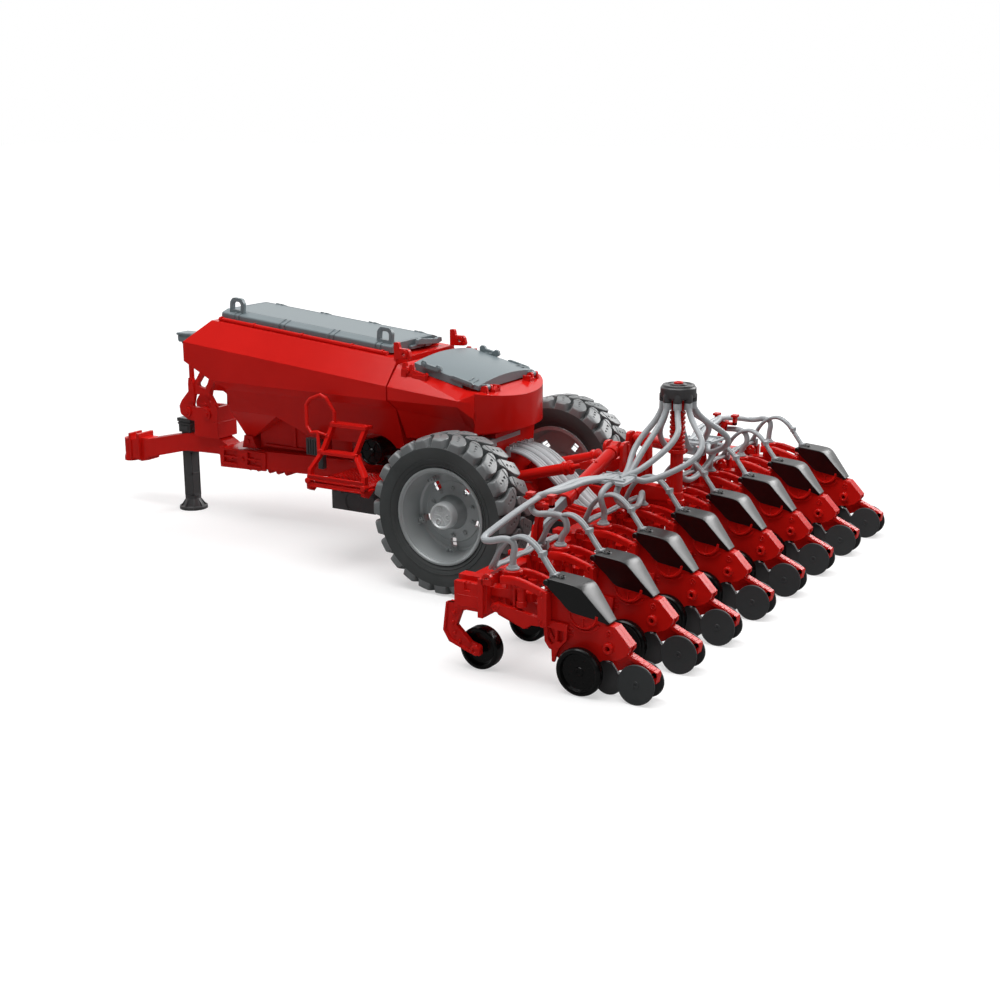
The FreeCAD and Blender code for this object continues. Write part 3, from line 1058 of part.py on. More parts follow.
# ---------------------------------------------------------------------------
# row units
# ---------------------------------------------------------------------------
def build_row_frame():
    """Clamp, parallel arms, head and body plates of one row at Y 0."""
    x0 = BAR_X0 - SNAP
    parts = [box(x0 - 3.6, x0, -13, 13, 37, 62),
             box(x0 - 3, BAR_X1 + 2, -4, 4, BAR_Z1 + SNAP, BAR_Z1 + 3),
             box(x0 - 3, BAR_X1 + 2, -4, 4, BAR_Z0 - 3, BAR_Z0 - SNAP)]
    for z0, z1 in ((62, 59), (43, 40)):
        arm = side_plate([(x0 - 1, z0 - 3), (x0 - 1, z0 + 2), (HEAD_X + 1, z1 + 2.4),
                          (HEAD_X + 1, z1 - 2.4)],
                         ARM_Y - ARM_T / 2, ARM_Y + ARM_T / 2)
        parts += both_sides(arm)
    parts.append(box(HEAD_X - 2.5, HEAD_X + 2.5, -11, 11, 36, 63))
    plate = side_plate([(HEAD_X, 62), (HEAD_X, 37), (-154, 22, 3), (-160, 19, 3), (-168, 24, 3),
                        (-172, 12, 3),
                        (-180, 11, 3), (-184, 18, 4), (-189, 23, 2), (-196, 23.4, 2), (-203.6, 27.6, 1.5),
                        (-206, 33.5, 2), (-195.5, 44, 2), (-190, 44, 2), (-185, 51, 3), (-168, 58, 3)],
                       PLATE_Y0, PLATE_Y0 + PLATE_T)
    parts += both_sides(plate)
    meter = pin_y(METER_X, -METER_HALF_W, METER_HALF_W, METER_Z, METER_R)
    for s in (1, -1):
        recess = pin_y(METER_X, s * (METER_HALF_W - 1.0), s * (METER_HALF_W + 1), METER_Z, METER_R - 1.8)
        boss = pin_y(METER_X, s * (METER_HALF_W - 1.2), s * METER_HALF_W, METER_Z, 3.4)
        spokes = [box(METER_X - 0.6, METER_X + 0.6, s * (METER_HALF_W - 1.2), s * (METER_HALF_W - 0.3),
                      METER_Z - METER_R + 1,
                      METER_Z - 3), box(METER_X + 3, METER_X + METER_R - 1, s * (METER_HALF_W - 1.2),
                                        s * (METER_HALF_W - 0.3),
                                        METER_Z - 0.6, METER_Z + 0.6)]
        meter = fuse([meter.cut(recess.cut(boss))] + spokes)
    meter = meter.cut(pin_y(METER_X, -METER_HALF_W - 1, METER_HALF_W + 1, METER_Z, 1.3))
    rib = side_plate([(-185, 51, 2), (-190, 44, 2), (-195.5, 44, 2), (-206, 33), (-203.4, 31),
                      (-193.8, 41, 1.5), (-188.6, 41, 1.5),
                      (-183, 48.5)], PLATE_Y0 + PLATE_T - 0.5, PLATE_Y0 + PLATE_T + 1.4)
    strut = side_plate([(HEAD_X + 1, 58), (HEAD_X - 1, 36), (-156, 26), (-158, 27.5), (-152.5, 37),
                        (HEAD_X - 1.6, 58)],
                       PLATE_Y0 + PLATE_T - 0.5, PLATE_Y0 + PLATE_T + 1.2)
    smile = turned([(METER_R + 1.2, PLATE_Y0 + PLATE_T - 0.5), (METER_R + 2.4, PLATE_Y0 + PLATE_T - 0.5),
                    (METER_R + 2.4, PLATE_Y0 + PLATE_T + 0.9), (METER_R + 1.2, PLATE_Y0 + PLATE_T + 0.9)],
                   (METER_X, 0, METER_Z), (0, 1, 0)).common(box(-184, -160, -20, 20, 30, 44))
    parts += [meter] + both_sides(rib) + both_sides(strut) + both_sides(smile)
    tail = [side_plate([(-190, 34), (-204, 28), (-222.6, 19.6, 1.5), (-221.6, 13.4, 1.5), (-214, 9, 3),
                        (-208, 9, 3), (-203, 19, 2), (-197, 16, 1), (-192.5, 22.5, 1), (-190, 24)], -1.4,
                        1.4),
            side_plate([(-200, 29.8), (-204.2, 28, 1), (-222.8, 19.8, 1), (-221.7, 13.4), (-220.2, 13.4),
                        (-221.0, 18.6), (-204, 26.2), (-200, 27.8)], -TAIL_HALF_W, TAIL_HALF_W),
            pin_y(CLOSE_X, -TAIL_HALF_W, TAIL_HALF_W, CLOSE_R, 2.8)]
    for s in (1, -1):
        face = s * (PLATE_Y0 + PLATE_T)
        tail.append(pin_y(-192.3, face - s, face + s * 1.9, 30.5, 3.4))
        tail.append(pin_y(-192.4, face - s, face + s * 0.5, 39.4, 2.0))
    root = side_plate([(-189.5, 36), (-197, 34), (-197, 26), (-189.5, 26)], -PLATE_Y0 - 0.5, PLATE_Y0 + 0.5)
    parts += tail + [root]
    flange = [pin_z(FLANGE_X, 0, FLANGE_Z - 1.5, FLANGE_Z + 1.5, 6.2), pin_z(FLANGE_X, 0, 46, FLANGE_Z,
                                                                             4.4),
              box(FLANGE_X, x0 - 2, -3, 3, 52, 58)]
    parts += flange
    coulter = side_plate([(-153, 43), (-166, 41), (-166, 25), (-160, 18), (-153, 20)], -4, 4)
    parts.append(coulter.cut(box(-170, -150, -PLATE_Y0 - 1, PLATE_Y0 + 1, 10, 33)))
    row = fuse(parts)
    row = row.cut(pin_y(GAUGE_X, -20, 20, GAUGE_R, PIN_R + RUN_GAP))
    row = row.cut(pin_y(CLOSE_X, -20, 20, CLOSE_R, PIN_R + RUN_GAP))
    row = row.cut(pin_y(-192.3, -20, 20, 30.5, 1.4))
    row = row.cut(side_plate([(-181, 41.4), (-181, 45.4), (-179.2, 45.8), (-179.2, 41.8)], -20, 20, 0.6))
    return row


def build_hood():
    """Black cover over the seed meter of one row."""
    outer = side_plate([(-152.6, 64.5), (-154, 69, 2), (-177, 66.5, 6), (-193.5, 47, 2), (-192, 45),
                        (-163.5, 53.5, 4)],
                       -HOOD_HALF_W, HOOD_HALF_W)
    inner = side_plate([(-154, 60), (-155.5, 67.6), (-176.5, 65.2, 5), (-192.2, 46.6), (-192, 40),
                        (-155, 40)],
                       -HOOD_HALF_W + HOOD_WALL, HOOD_HALF_W - HOOD_WALL)
    return outer.cut(inner)


def build_opener():
    disc = pin_y(GAUGE_X, -1.5, 1.5, GAUGE_R, GAUGE_R - 0.6)
    lobe = pin_y(PRESS_X, -1.5, 1.5, 10.2, PRESS_R)
    web = side_plate([(GAUGE_X - 10, 22), (PRESS_X - 4, 18), (PRESS_X, 3), (GAUGE_X - 10, 3)], -1.5, 1.5)
    opener = fuse([disc, lobe, web])
    tail_gap = side_plate([(-188.6, 37), (-204, 32), (-225, 22), (-223, 9), (-211, 6), (-203.6, 17.2),
                           (-197.2, 14.2), (-191.6, 21.4), (-188.6, 22.6)], -3.2, 3.2)
    return opener.cut(pin_y(GAUGE_X, -9, 9, GAUGE_R, PIN_R + RUN_GAP)).cut(tail_gap)


def build_gauge():
    w = GAUGE_W / 2
    parts = []
    for s in (1, -1):
        wheel = turned([(0, -w + 1), (3.4, -w + 1), (4, -w + 2.2), (10.2, -w + 2.2), (11.4, -w),
                        (GAUGE_R - 1.4, -w), (GAUGE_R, -w + 1.6),
                        (GAUGE_R, w - 1.6), (GAUGE_R - 1.4, w), (11.4, w), (10.2, w - 1.6), (4, w - 1.6),
                        (3.4, w - 0.4),
                        (0, w - 0.4)], (GAUGE_X, s * GAUGE_Y, GAUGE_R), (0, s, 0))
        parts.append(wheel)
    parts.append(pin_y(GAUGE_X, -GAUGE_Y, GAUGE_Y, GAUGE_R, PIN_R))
    return fuse(parts)


def build_closing():
    t = CLOSE_T / 2
    parts = [pin_y(CLOSE_X, -CLOSE_Y, CLOSE_Y, CLOSE_R, PIN_R)]
    for s in (1, -1):
        disc = turned([(0, -t), (CLOSE_R, -t), (CLOSE_R, t), (4, t), (3.4, t + 0.8), (0, t + 0.8)],
                      (0, 0, 0), (0, s, 0))
        disc.rotate(V(0, 0, 0), V(1, 0, 0), s * CLOSE_CAMBER)
        disc.translate(V(CLOSE_X, s * CLOSE_Y, CLOSE_R))
        parts.append(disc)
    return fuse(parts)


def build_support():
    w = SUPPORT_W / 2
    wheel = turned([(0, -w + 2), (3, -w + 2), (8.4, -w + 2), (9.6, -w), (SUPPORT_R - 1.2, -w),
                    (SUPPORT_R, -w + 1.4),
                    (SUPPORT_R, w - 1.4), (SUPPORT_R - 1.2, w), (9.6, w), (8.4, w - 2.4), (3.2, w - 2.4),
                    (3.0, w), (0, w)],
                   (SUPPORT_X, 0, SUPPORT_R), (0, 1, 0))
    return wheel.cut(pin_y(SUPPORT_X, -w + 0.4, w + 1, SUPPORT_R, PIN_R + RUN_GAP))


def at_row(shape, k):
    shape = shape.copy()
    shape.translate(V(0, ROW_Y[k], 0))
    return shape


row_frame, row_hood, opener = build_row_frame(), build_hood(), build_opener()
for group, rows in (("centre", CENTRE_ROWS), ("left", LEFT_ROWS), ("right", RIGHT_ROWS)):
    save("row_frames_" + group, [at_row(row_frame, k) for k in rows])
    save("row_hoods_" + group, [at_row(row_hood, k) for k in rows])
    save("furrow_openers_" + group, [at_row(opener, k) for k in rows])
gauge, closing, support = build_gauge(), build_closing(), build_support()
for k in range(ROWS):
    save("gauge_wheels_%d" % (k + 1), at_row(gauge, k))
    save("closing_discs_%d" % (k + 1), at_row(closing, k))
for n, k in enumerate((0, 1, ROWS - 2, ROWS - 1)):
    wheel = at_row(support, k) if k < 2 else mirrored(at_row(support, ROWS - 1 - k))
    save("support_wheel_%d" % (n + 1), wheel)


# ---------------------------------------------------------------------------
# seed hoses
# ---------------------------------------------------------------------------
def seed_hose(k):
    """Hose from the head to the flange of row k (left side rows 0 to 3)."""
    y = ROW_Y[k]
    a = math.radians(22.5 + 45 * k)
    sx, sy = MAST_X + HOSE_OUT_R * math.cos(a), HOSE_OUT_R * math.sin(a)
    slot = UNION_X + (1.5 - k) * HOSE_PITCH
    clip = CLIP_X + (0.5 - k) * HOSE_PITCH
    top = FLANGE_Z + 1.5 + SNAP
    fall = {0: [(-111.5, 18.4, 106.2), (-117.6, 41.3, 88.0)],
            1: [(-125.2, 36.5, 104.5), (-123.4, 52.0, 89.4)],
            2: [(-150.8, 27.5, 117.6), (-134.5, 50.0, 98.5)],
            3: [(-172.0, 23.3, 108.7), (-139.0, 48.3, 89.0)]}[k]
    over = [(slot, UNION_Y - 2, UNION_Z), (slot, UNION_Y + 7, UNION_Z)]
    run = {0: [(clip, FOLD_Y, CLIP_Z), (clip, FOLD_Y + 16, CLIP_Z), (clip + 2, y - 28, 90),
               (clip, y - 6, 86)],
           1: [(clip, FOLD_Y, CLIP_Z), (clip, FOLD_Y + 16, CLIP_Z), (clip - 2, y + 7, 91)],
           2: [],
           3: [(slot - 8, UNION_Y + 19, 86), (slot - 9, UNION_Y + 8, 77), (slot + 3, y + 20, 77)]}[k]
    last = [(FLANGE_X, y, top + 14), (FLANGE_X, y, top)]
    return hose([(sx, sy, HEAD_Z0), (sx, sy, HEAD_Z0 - 9)] + fall + over + run + last, HOSE_D)


def build_union():
    """Web of the moulded tree, joined to the two inner hoses."""
    half = 2 * HOSE_PITCH + 1
    web = box(UNION_X - half, UNION_X + half, UNION_Y + 1.6, UNION_Y + 3.2, UNION_Z - 4.4, UNION_Z + 4.4)
    for k in (0, 1):
        x = UNION_X + (1.5 - k) * HOSE_PITCH
        web = web.cut(pin_y(x, UNION_Y, UNION_Y + 5, UNION_Z, HOSE_D / 2 + SNAP))
    return web


left_hoses = [seed_hose(k) for k in range(4)]
inner_tree = fuse([build_union(), left_hoses[2], left_hoses[3]])
save("hoses_left", left_hoses[:2])
save("hoses_right", [mirrored(shape) for shape in left_hoses[:2]])
save("hoses_centre", both_sides(inner_tree))


def build_bundle():
    """Ribbon of lines from under the hopper to the toolbar, with its tie."""
    route = [(SADDLE_X0 - 1, 94), (-18, 94), (-34, 84), (-54, 62), (-72, 49), (BAR_X1 + SNAP, 49)]
    lines = []
    y = -BUNDLE_HALF_W
    for size in BUNDLE_SIZES:
        y += size / 2
        lines.append(hose([(x, y, z) for x, z in route], size))
        y += size / 2 + BUNDLE_GAP
    return lines


save("hose_bundle", build_bundle())
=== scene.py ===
import math
import bpy
import bmesh
from mathutils import Matrix, Vector


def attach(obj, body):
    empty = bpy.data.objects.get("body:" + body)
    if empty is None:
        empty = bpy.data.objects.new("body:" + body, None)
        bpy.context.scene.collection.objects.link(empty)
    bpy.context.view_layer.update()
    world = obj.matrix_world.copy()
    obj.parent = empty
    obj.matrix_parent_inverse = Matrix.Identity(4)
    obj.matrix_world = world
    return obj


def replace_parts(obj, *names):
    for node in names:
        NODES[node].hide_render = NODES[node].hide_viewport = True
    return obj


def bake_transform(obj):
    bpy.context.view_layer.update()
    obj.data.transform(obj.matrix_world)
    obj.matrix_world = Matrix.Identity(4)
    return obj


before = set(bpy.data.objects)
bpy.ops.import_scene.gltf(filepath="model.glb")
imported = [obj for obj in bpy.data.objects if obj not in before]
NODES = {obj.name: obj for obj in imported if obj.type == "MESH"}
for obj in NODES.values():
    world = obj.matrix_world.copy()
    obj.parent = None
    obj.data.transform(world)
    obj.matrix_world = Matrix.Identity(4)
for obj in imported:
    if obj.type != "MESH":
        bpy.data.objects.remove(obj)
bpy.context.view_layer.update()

# ---------------------------------------------------------------------------
# The place it stands: a pale paper floor in a white room, lit by three soft
# panels and a faint even sky, and seen from off its left rear corner.
# ---------------------------------------------------------------------------
AXLE_X = -0.0862                     # road-wheel axle, seen from the model's own middle
EYE = Vector((-0.58406 + AXLE_X, 0.98030, 0.34361))
YAW, PITCH, ROLL = -1.0272, -0.2538, -0.0045     # radians, from +X and from level
camera_data = bpy.data.cameras.new("camera")
camera_data.sensor_width, camera_data.lens = 36.0, 56.03
camera_data.shift_x, camera_data.shift_y = -0.00125, 0.00074
camera_data.clip_start = 0.05
camera = bpy.data.objects.new("camera", camera_data)
bpy.context.scene.collection.objects.link(camera)
ahead = Vector((math.cos(PITCH) * math.cos(YAW), math.cos(PITCH) * math.sin(YAW), math.sin(PITCH)))
right = ahead.cross(Vector((0, 0, 1))).normalized()
upward = right.cross(ahead)
right, upward = (right * math.cos(ROLL) + upward * math.sin(ROLL),
                 upward * math.cos(ROLL) - right * math.sin(ROLL))
camera.matrix_world = Matrix([(right[i], upward[i], -ahead[i], EYE[i]) for i in range(3)] +
                             [(0, 0, 0, 1)])
bpy.context.scene.camera = camera
bpy.context.scene.view_settings.view_transform = "Standard"


class Socket:
    """A shader output that takes part in arithmetic: each operator adds its Math node."""

    def __init__(self, finish, link):
        self.finish, self.link = finish, link

    def _math(self, operation, first, second=0.0):
        return self.finish.node("ShaderNodeMath", {"operation": operation}, {0: first, 1: second})

    def __add__(self, other): return self._math("ADD", self, other)
    def __radd__(self, other): return self._math("ADD", other, self)
    def __sub__(self, other): return self._math("SUBTRACT", self, other)
    def __rsub__(self, other): return self._math("SUBTRACT", other, self)
    def __mul__(self, other): return self._math("MULTIPLY", self, other)
    def __rmul__(self, other): return self._math("MULTIPLY", other, self)


class Finish:
    """A material in the making: node() adds one node and returns one of its outputs."""

    def __init__(self, name):
        self.material = bpy.data.materials.new(name)
        self.material.use_nodes = True
        self.tree = self.material.node_tree
        self.shader = self.tree.nodes["Principled BSDF"]

    def node(self, kind, settings=None, inputs=None, output=0):
        made = self.tree.nodes.new(kind)
        for name, value in (settings or {}).items():
            if name == "stops":
                ramp = made.color_ramp
                while len(ramp.elements) < len(value):
                    ramp.elements.new(0.5)
                for stop, (place, colour) in zip(ramp.elements, value):
                    stop.position = place
                    stop.color = colour
            else:
                setattr(made, name, value)
        for name, value in (inputs or {}).items():
            self.feed(made.inputs[name], value)
        return Socket(self, made.outputs[output])

    def feed(self, socket, value):
        if isinstance(value, Socket):
            self.tree.links.new(value.link, socket)
        else:
            socket.default_value = value

    def set(self, **values):
        for name, value in values.items():
            self.feed(self.shader.inputs[name.replace("_", " ")], value)
        return self


def screen(r, g, b):
    """Linear colour of an 8-bit screen colour."""
    def channel(c):
        c /= 255.0
        return c / 12.92 if c <= 0.04045 else ((c + 0.055) / 1.055) ** 2.4
    return (channel(r), channel(g), channel(b), 1.0)


# what the paper adds to its lit colour, beside the model and far from it
NEAR_WHITE, FAR_WHITE = 0.51, 0.94
NEAR, FAR = 0.25, 1.9                # how far out those two places are
PAPER, PAPER_IN_GLOSS = 0.505, 0.14  # grey of the paper, seen straight and in a glossy face
GLOSS_GLOW = 0.1                     # share of the added white that a glossy face shows
FLOOR_HALF = 9
floor_mesh = bpy.data.meshes.new("floor")
square = ((-1, -1), (1, -1), (1, 1), (-1, 1))
floor_mesh.from_pydata([(x * FLOOR_HALF, y * FLOOR_HALF, 0) for x, y in square], [], [(0, 1, 2, 3)])
floor = bpy.data.objects.new("floor", floor_mesh)
bpy.context.scene.collection.objects.link(floor)
paper = Finish("studio_paper")
camera_ray, glossy_ray, clear_ray = [paper.node("ShaderNodeLightPath", output=ray) for ray in (
    "Is Camera Ray", "Is Glossy Ray", "Is Transmission Ray")]
distance = paper.node("ShaderNodeVectorMath", {"operation": "LENGTH"},
                      {0: paper.node("ShaderNodeTexCoord", output=3)}, output=1)
reach = paper.node("ShaderNodeMapRange", None, {
    "Value": distance, "From Min": NEAR, "From Max": FAR,
    "To Min": NEAR_WHITE, "To Max": FAR_WHITE})
glow = paper.node("ShaderNodeEmission", None, {
    "Color": (1, 1, 1, 1), "Strength": (camera_ray + glossy_ray * GLOSS_GLOW + clear_ray) * reach})
paper.set(Base_Color=paper.node("ShaderNodeMapRange", None,
                                {"Value": glossy_ray, "To Min": PAPER, "To Max": PAPER_IN_GLOSS}),
          Roughness=0.9)
paper.shader.inputs["Specular IOR Level"].default_value = 0.1
lit_paper = Socket(paper, paper.shader.outputs[0])
both_lights = paper.node("ShaderNodeAddShader", None, {0: lit_paper, 1: glow})
paper.feed(paper.tree.nodes["Material Output"].inputs["Surface"], both_lights)
floor_mesh.materials.append(paper.material)

SKY = 0.12                           # light of the room on the model
# white that a glossy face shows of the room away from the backdrop
DIM_SIDE = 0.04
# where the white backdrop hangs; the other side of the room is dim
BACKDROP = (0.518, -0.855, 0.0)
world = bpy.data.worlds.new("soft_room")
bpy.context.scene.world = world
world.use_nodes = True
room = world.node_tree


def wired(tree, kind, inputs=None, **settings):
    """One node in a tree, with its settings and the values or links of its sockets."""
    made = tree.nodes.new(kind)
    for key, value in settings.items():
        setattr(made, key, value)
    for name, value in (inputs or {}).items():
        if isinstance(value, bpy.types.NodeSocket):
            tree.links.new(value, made.inputs[name])
        else:
            made.inputs[name].default_value = value
    return made


def room_math(operation, first, second):
    return wired(room, "ShaderNodeMath", {0: first, 1: second}, operation=operation).outputs[0]


rays = wired(room, "ShaderNodeLightPath").outputs
toward = wired(room, "ShaderNodeTexCoord").outputs["Generated"]
facing = wired(room, "ShaderNodeVectorMath", {0: toward, 1: BACKDROP},
               operation="DOT_PRODUCT").outputs["Value"]
mirrored = wired(room, "ShaderNodeMapRange", {"Value": facing, "From Min": -0.1, "From Max": 0.6,
                                              "To Min": DIM_SIDE, "To Max": 1.0}).outputs[0]
seen = room_math("MAXIMUM", rays["Is Camera Ray"], rays["Is Transmission Ray"])
white = room_math("MAXIMUM", seen, room_math("MULTIPLY", rays["Is Glossy Ray"], mirrored))
direct = room_math("MAXIMUM", seen, rays["Is Glossy Ray"])
lit, shown = room.nodes["Background"], wired(room, "ShaderNodeBackground", {"Strength": white})
lit.inputs["Color"].default_value = shown.inputs["Color"].default_value = (1, 1, 1, 1)
lit.inputs["Strength"].default_value = SKY
pick = wired(room, "ShaderNodeMixShader", {0: direct, 1: lit.outputs[0], 2: shown.outputs[0]})
room.links.new(pick.outputs[0], room.nodes["World Output"].inputs["Surface"])


def soft_lamp(name, place, aim_at, size, power):
    data = bpy.data.lights.new(name, "AREA")
    data.shape = "RECTANGLE"
    data.size, data.size_y = size
    data.energy = power
    lamp = bpy.data.objects.new(name, data)
    lamp.location = place
    lamp.rotation_euler = (Vector(aim_at) - Vector(place)).to_track_quat("-Z", "Y").to_euler()
    bpy.context.scene.collection.objects.link(lamp)


soft_lamp("overhead_panel", (0.0, 0.3, 1.6), (0, 0, 0), (1.6, 1.2), 29)
soft_lamp("side_panel", (-1.3, 1.3, 0.9), (0, 0, 0.08), (1.0, 0.8), 1.3)
soft_lamp("back_panel", (-0.85, -1.5, 1.05), (-0.2, 0.05, 0.05), (1.5, 0.8), 23)


# ---------------------------------------------------------------------------
# Chassis: one red moulding with the hitch head, the swan-neck drawbar, the
# straight beam and the rear frame.  The axle is pressed into it, and ribbed
# pockets, lashing knobs and the head's collars are moulded on.
# ---------------------------------------------------------------------------
UP = (0, 0, 1)
MM = 0.001


def baked(piece):
    """A plain mesh of an object as its modifiers leave it."""
    scene_now = bpy.context.evaluated_depsgraph_get()
    return bpy.data.meshes.new_from_object(piece.evaluated_get(scene_now))


class Shape:
    """Closed forms gathered in one mesh, in millimetres from the road-wheel axle."""

    def __init__(self):
        self.mesh = bmesh.new()

    def loft(self, rings, ends=True, loop=False):
        """Skin through rings of equally many points."""
        rows = [[self.mesh.verts.new(p) for p in ring] for ring in rings]
        count = len(rows[0])
        for a, b in zip(rows, rows[1:] + rows[:1] if loop else rows[1:]):
            for i in range(count):
                j = (i + 1) % count
                self.mesh.faces.new((a[i], a[j], b[j], b[i]))
        if ends and not loop:
            self.mesh.faces.new(rows[0][::-1])
            self.mesh.faces.new(rows[-1])
        return self

    def plate(self, outline, low, high, across="y"):
        """Outline in XZ (or YZ across x, or XY across z), from low to high."""
        def put(u, v, w):
            return {"y": (u, w, v), "x": (w, u, v), "z": (u, v, w)}[across]
        return self.loft([[put(u, v, w) for u, v in outline] for w in (low, high)])

    def block(self, x0, x1, y0, y1, z0, z1):
        return self.plate([(x0, z0), (x1, z0), (x1, z1), (x0, z1)], y0, y1)

    def turn(self, profile, centre, axis=(0, 1, 0), steps=48, closed=False):
        """Profile of (radius, height) turned round an axis through centre."""
        axis = Vector(axis).normalized()
        side = axis.orthogonal().normalized()
        other = axis.cross(side)
        centre = Vector(centre)
        rings = []
        for r, h in profile:
            ring = []
            for i in range(steps):
                a = 2 * math.pi * i / steps
                ring.append(centre + axis * h + (side * math.cos(a) + other * math.sin(a)) * r)
            rings.append(ring)
        return self.loft(rings, ends=not closed, loop=closed)

    def pin(self, radius, low, high, centre, axis=(0, 1, 0), steps=20, crown=None):
        """Round pin from low to high; `crown` is how far in and down its far edge is broken."""
        end = [(radius, high)]
        if crown:
            end = [(radius, high - crown[1]), (radius - crown[0], high)]
        return self.turn([(0, low), (radius, low), *end, (0, high)], centre, axis, steps)

    def tube(self, points, radius, steps=12):
        """Round tube along a run of points."""
        points = [Vector(p) for p in points]
        count = len(points)
        heading = (points[1] - points[0]).normalized()
        side = heading.orthogonal().normalized()
        rings = []
        for i, p in enumerate(points):
            a, b = points[max(i - 1, 0)], points[min(i + 1, count - 1)]
            heading = (b - a).normalized()
            side = (side - heading * side.dot(heading)).normalized()
            other = heading.cross(side)
            turns = [2 * math.pi * k / steps for k in range(steps)]
            rings.append([p + (side * math.cos(a) + other * math.sin(a)) * radius for a in turns])
        return self.loft(rings)

    def both(self):
        """Adds the same forms mirrored to the other side."""
        parts = [*self.mesh.verts, *self.mesh.edges, *self.mesh.faces]
        made = bmesh.ops.duplicate(self.mesh, geom=parts)
        for v in made["geom"]:
            if isinstance(v, bmesh.types.BMVert):
                v.co.y = -v.co.y
        return self

    def shift(self, x=0.0, y=0.0, z=0.0):
        bmesh.ops.translate(self.mesh, vec=(x, y, z), verts=self.mesh.verts)
        return self

    def spin(self, angle, axis, centre):
        bmesh.ops.rotate(self.mesh, cent=centre, verts=self.mesh.verts,
                         matrix=Matrix.Rotation(math.radians(angle), 3, axis))
        return self

    def add(self, other):
        other.tidy()
        spare = bpy.data.meshes.new("spare")
        other.mesh.to_mesh(spare)
        self.mesh.from_mesh(spare)
        bpy.data.meshes.remove(spare)
        return self

    def tidy(self):
        bmesh.ops.remove_doubles(self.mesh, verts=self.mesh.verts, dist=0.002)
        bmesh.ops.recalc_face_normals(self.mesh, faces=self.mesh.faces)
        return self

    def minus(self, cutter):
        """Cuts another shape out of this one."""
        pair = []
        for shape in (self, cutter):
            shape.tidy()
            data = bpy.data.meshes.new("spare")
            shape.mesh.to_mesh(data)
            pair.append(bpy.data.objects.new("spare", data))
            bpy.context.scene.collection.objects.link(pair[-1])
        cut = pair[0].modifiers.new("cut", "BOOLEAN")
        cut.object, cut.operation, cut.solver = pair[1], "DIFFERENCE", "EXACT"
        done = baked(pair[0])
        self.mesh.clear()
        self.mesh.from_mesh(done)
        bpy.data.meshes.remove(done)
        for spare in pair:
            data = spare.data
            bpy.data.objects.remove(spare)
            bpy.data.meshes.remove(data)
        return self

    def data(self, name, sharp=32.0):
        """The finished mesh, in metres in the model's own frame."""
        self.tidy()
        mesh = bpy.data.meshes.new(name)
        self.mesh.to_mesh(mesh)
        self.mesh.free()
        mesh.transform(Matrix.Translation((AXLE_X, 0, 0)) @ Matrix.Scale(MM, 4))
        mesh.polygons.foreach_set("use_smooth", [True] * len(mesh.polygons))
        mesh.set_sharp_from_angle(angle=math.radians(sharp))
        return mesh


def soften(piece, width):
    """Breaks a piece's edges, by millimetres."""
    edge = piece.modifiers.new("soft_edges", "BEVEL")
    edge.width, edge.segments, edge.limit_method = width * MM, 2, "ANGLE"
    edge.angle_limit = math.radians(40)


def fit(name, form, material, body=None, bevel=0.0, slot=None, sharp=32.0):
    """A finished piece: its form or mesh, its finish and the body it moves with."""
    mesh = form.data(name, sharp) if isinstance(form, Shape) else form
    mesh.materials.clear()
    mesh.materials.append(material)
    piece = bpy.data.objects.new(name, mesh)
    bpy.context.scene.collection.objects.link(piece)
    if bevel:
        soften(piece, bevel)
    slot = slot or SLOTS.get(material)
    if body:
        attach(piece, body)
    return piece


def dress(material, *names):
    """Gives CAD nodes their finish."""
    for name in names:
        for holder in NODES[name].material_slots:
            holder.material = material


SLOTS = {}                           # finish: the material of the CAD that it stands for


def moulded(name, colour, roughness, mottle=0.05, grain=1500.0, depth=0.01, edge=0.5, shine=0.5,
            metal=0.0, slot=None):
    """Injection-moulded plastic: a faint cloud of tone, a fine skin and edges
    rounded by `edge` millimetres."""
    f = Finish(name)
    where = f.node("ShaderNodeTexCoord", output=3)
    cloud = f.node("ShaderNodeTexNoise", None, {"Vector": where, "Scale": 26.0, "Detail": 3.0,
                                                "Roughness": 0.5})
    dark = tuple(c * (1 - mottle) for c in colour[:3]) + (1,)
    light = tuple(min(1, c * (1 + mottle)) for c in colour[:3]) + (1,)
    tone = f.node("ShaderNodeValToRGB", {"stops": [(0.3, dark), (0.7, light)]}, {"Fac": cloud})
    skin = f.node("ShaderNodeTexNoise", None, {"Vector": where, "Scale": grain, "Detail": 2.0,
                                               "Roughness": 0.5})
    inputs = {"Height": skin, "Distance": depth * MM, "Strength": 1.0}
    if edge:
        inputs["Normal"] = f.node("ShaderNodeBevel", {"samples": 4}, {"Radius": edge * MM})
    f.set(Base_Color=tone, Roughness=roughness + (cloud - 0.5) * 0.06,
          Normal=f.node("ShaderNodeBump", None, inputs))
    f.shader.inputs["Specular IOR Level"].default_value = shine
    f.shader.inputs["Metallic"].default_value = metal
    if slot:
        SLOTS[f.material] = slot
    return f.material


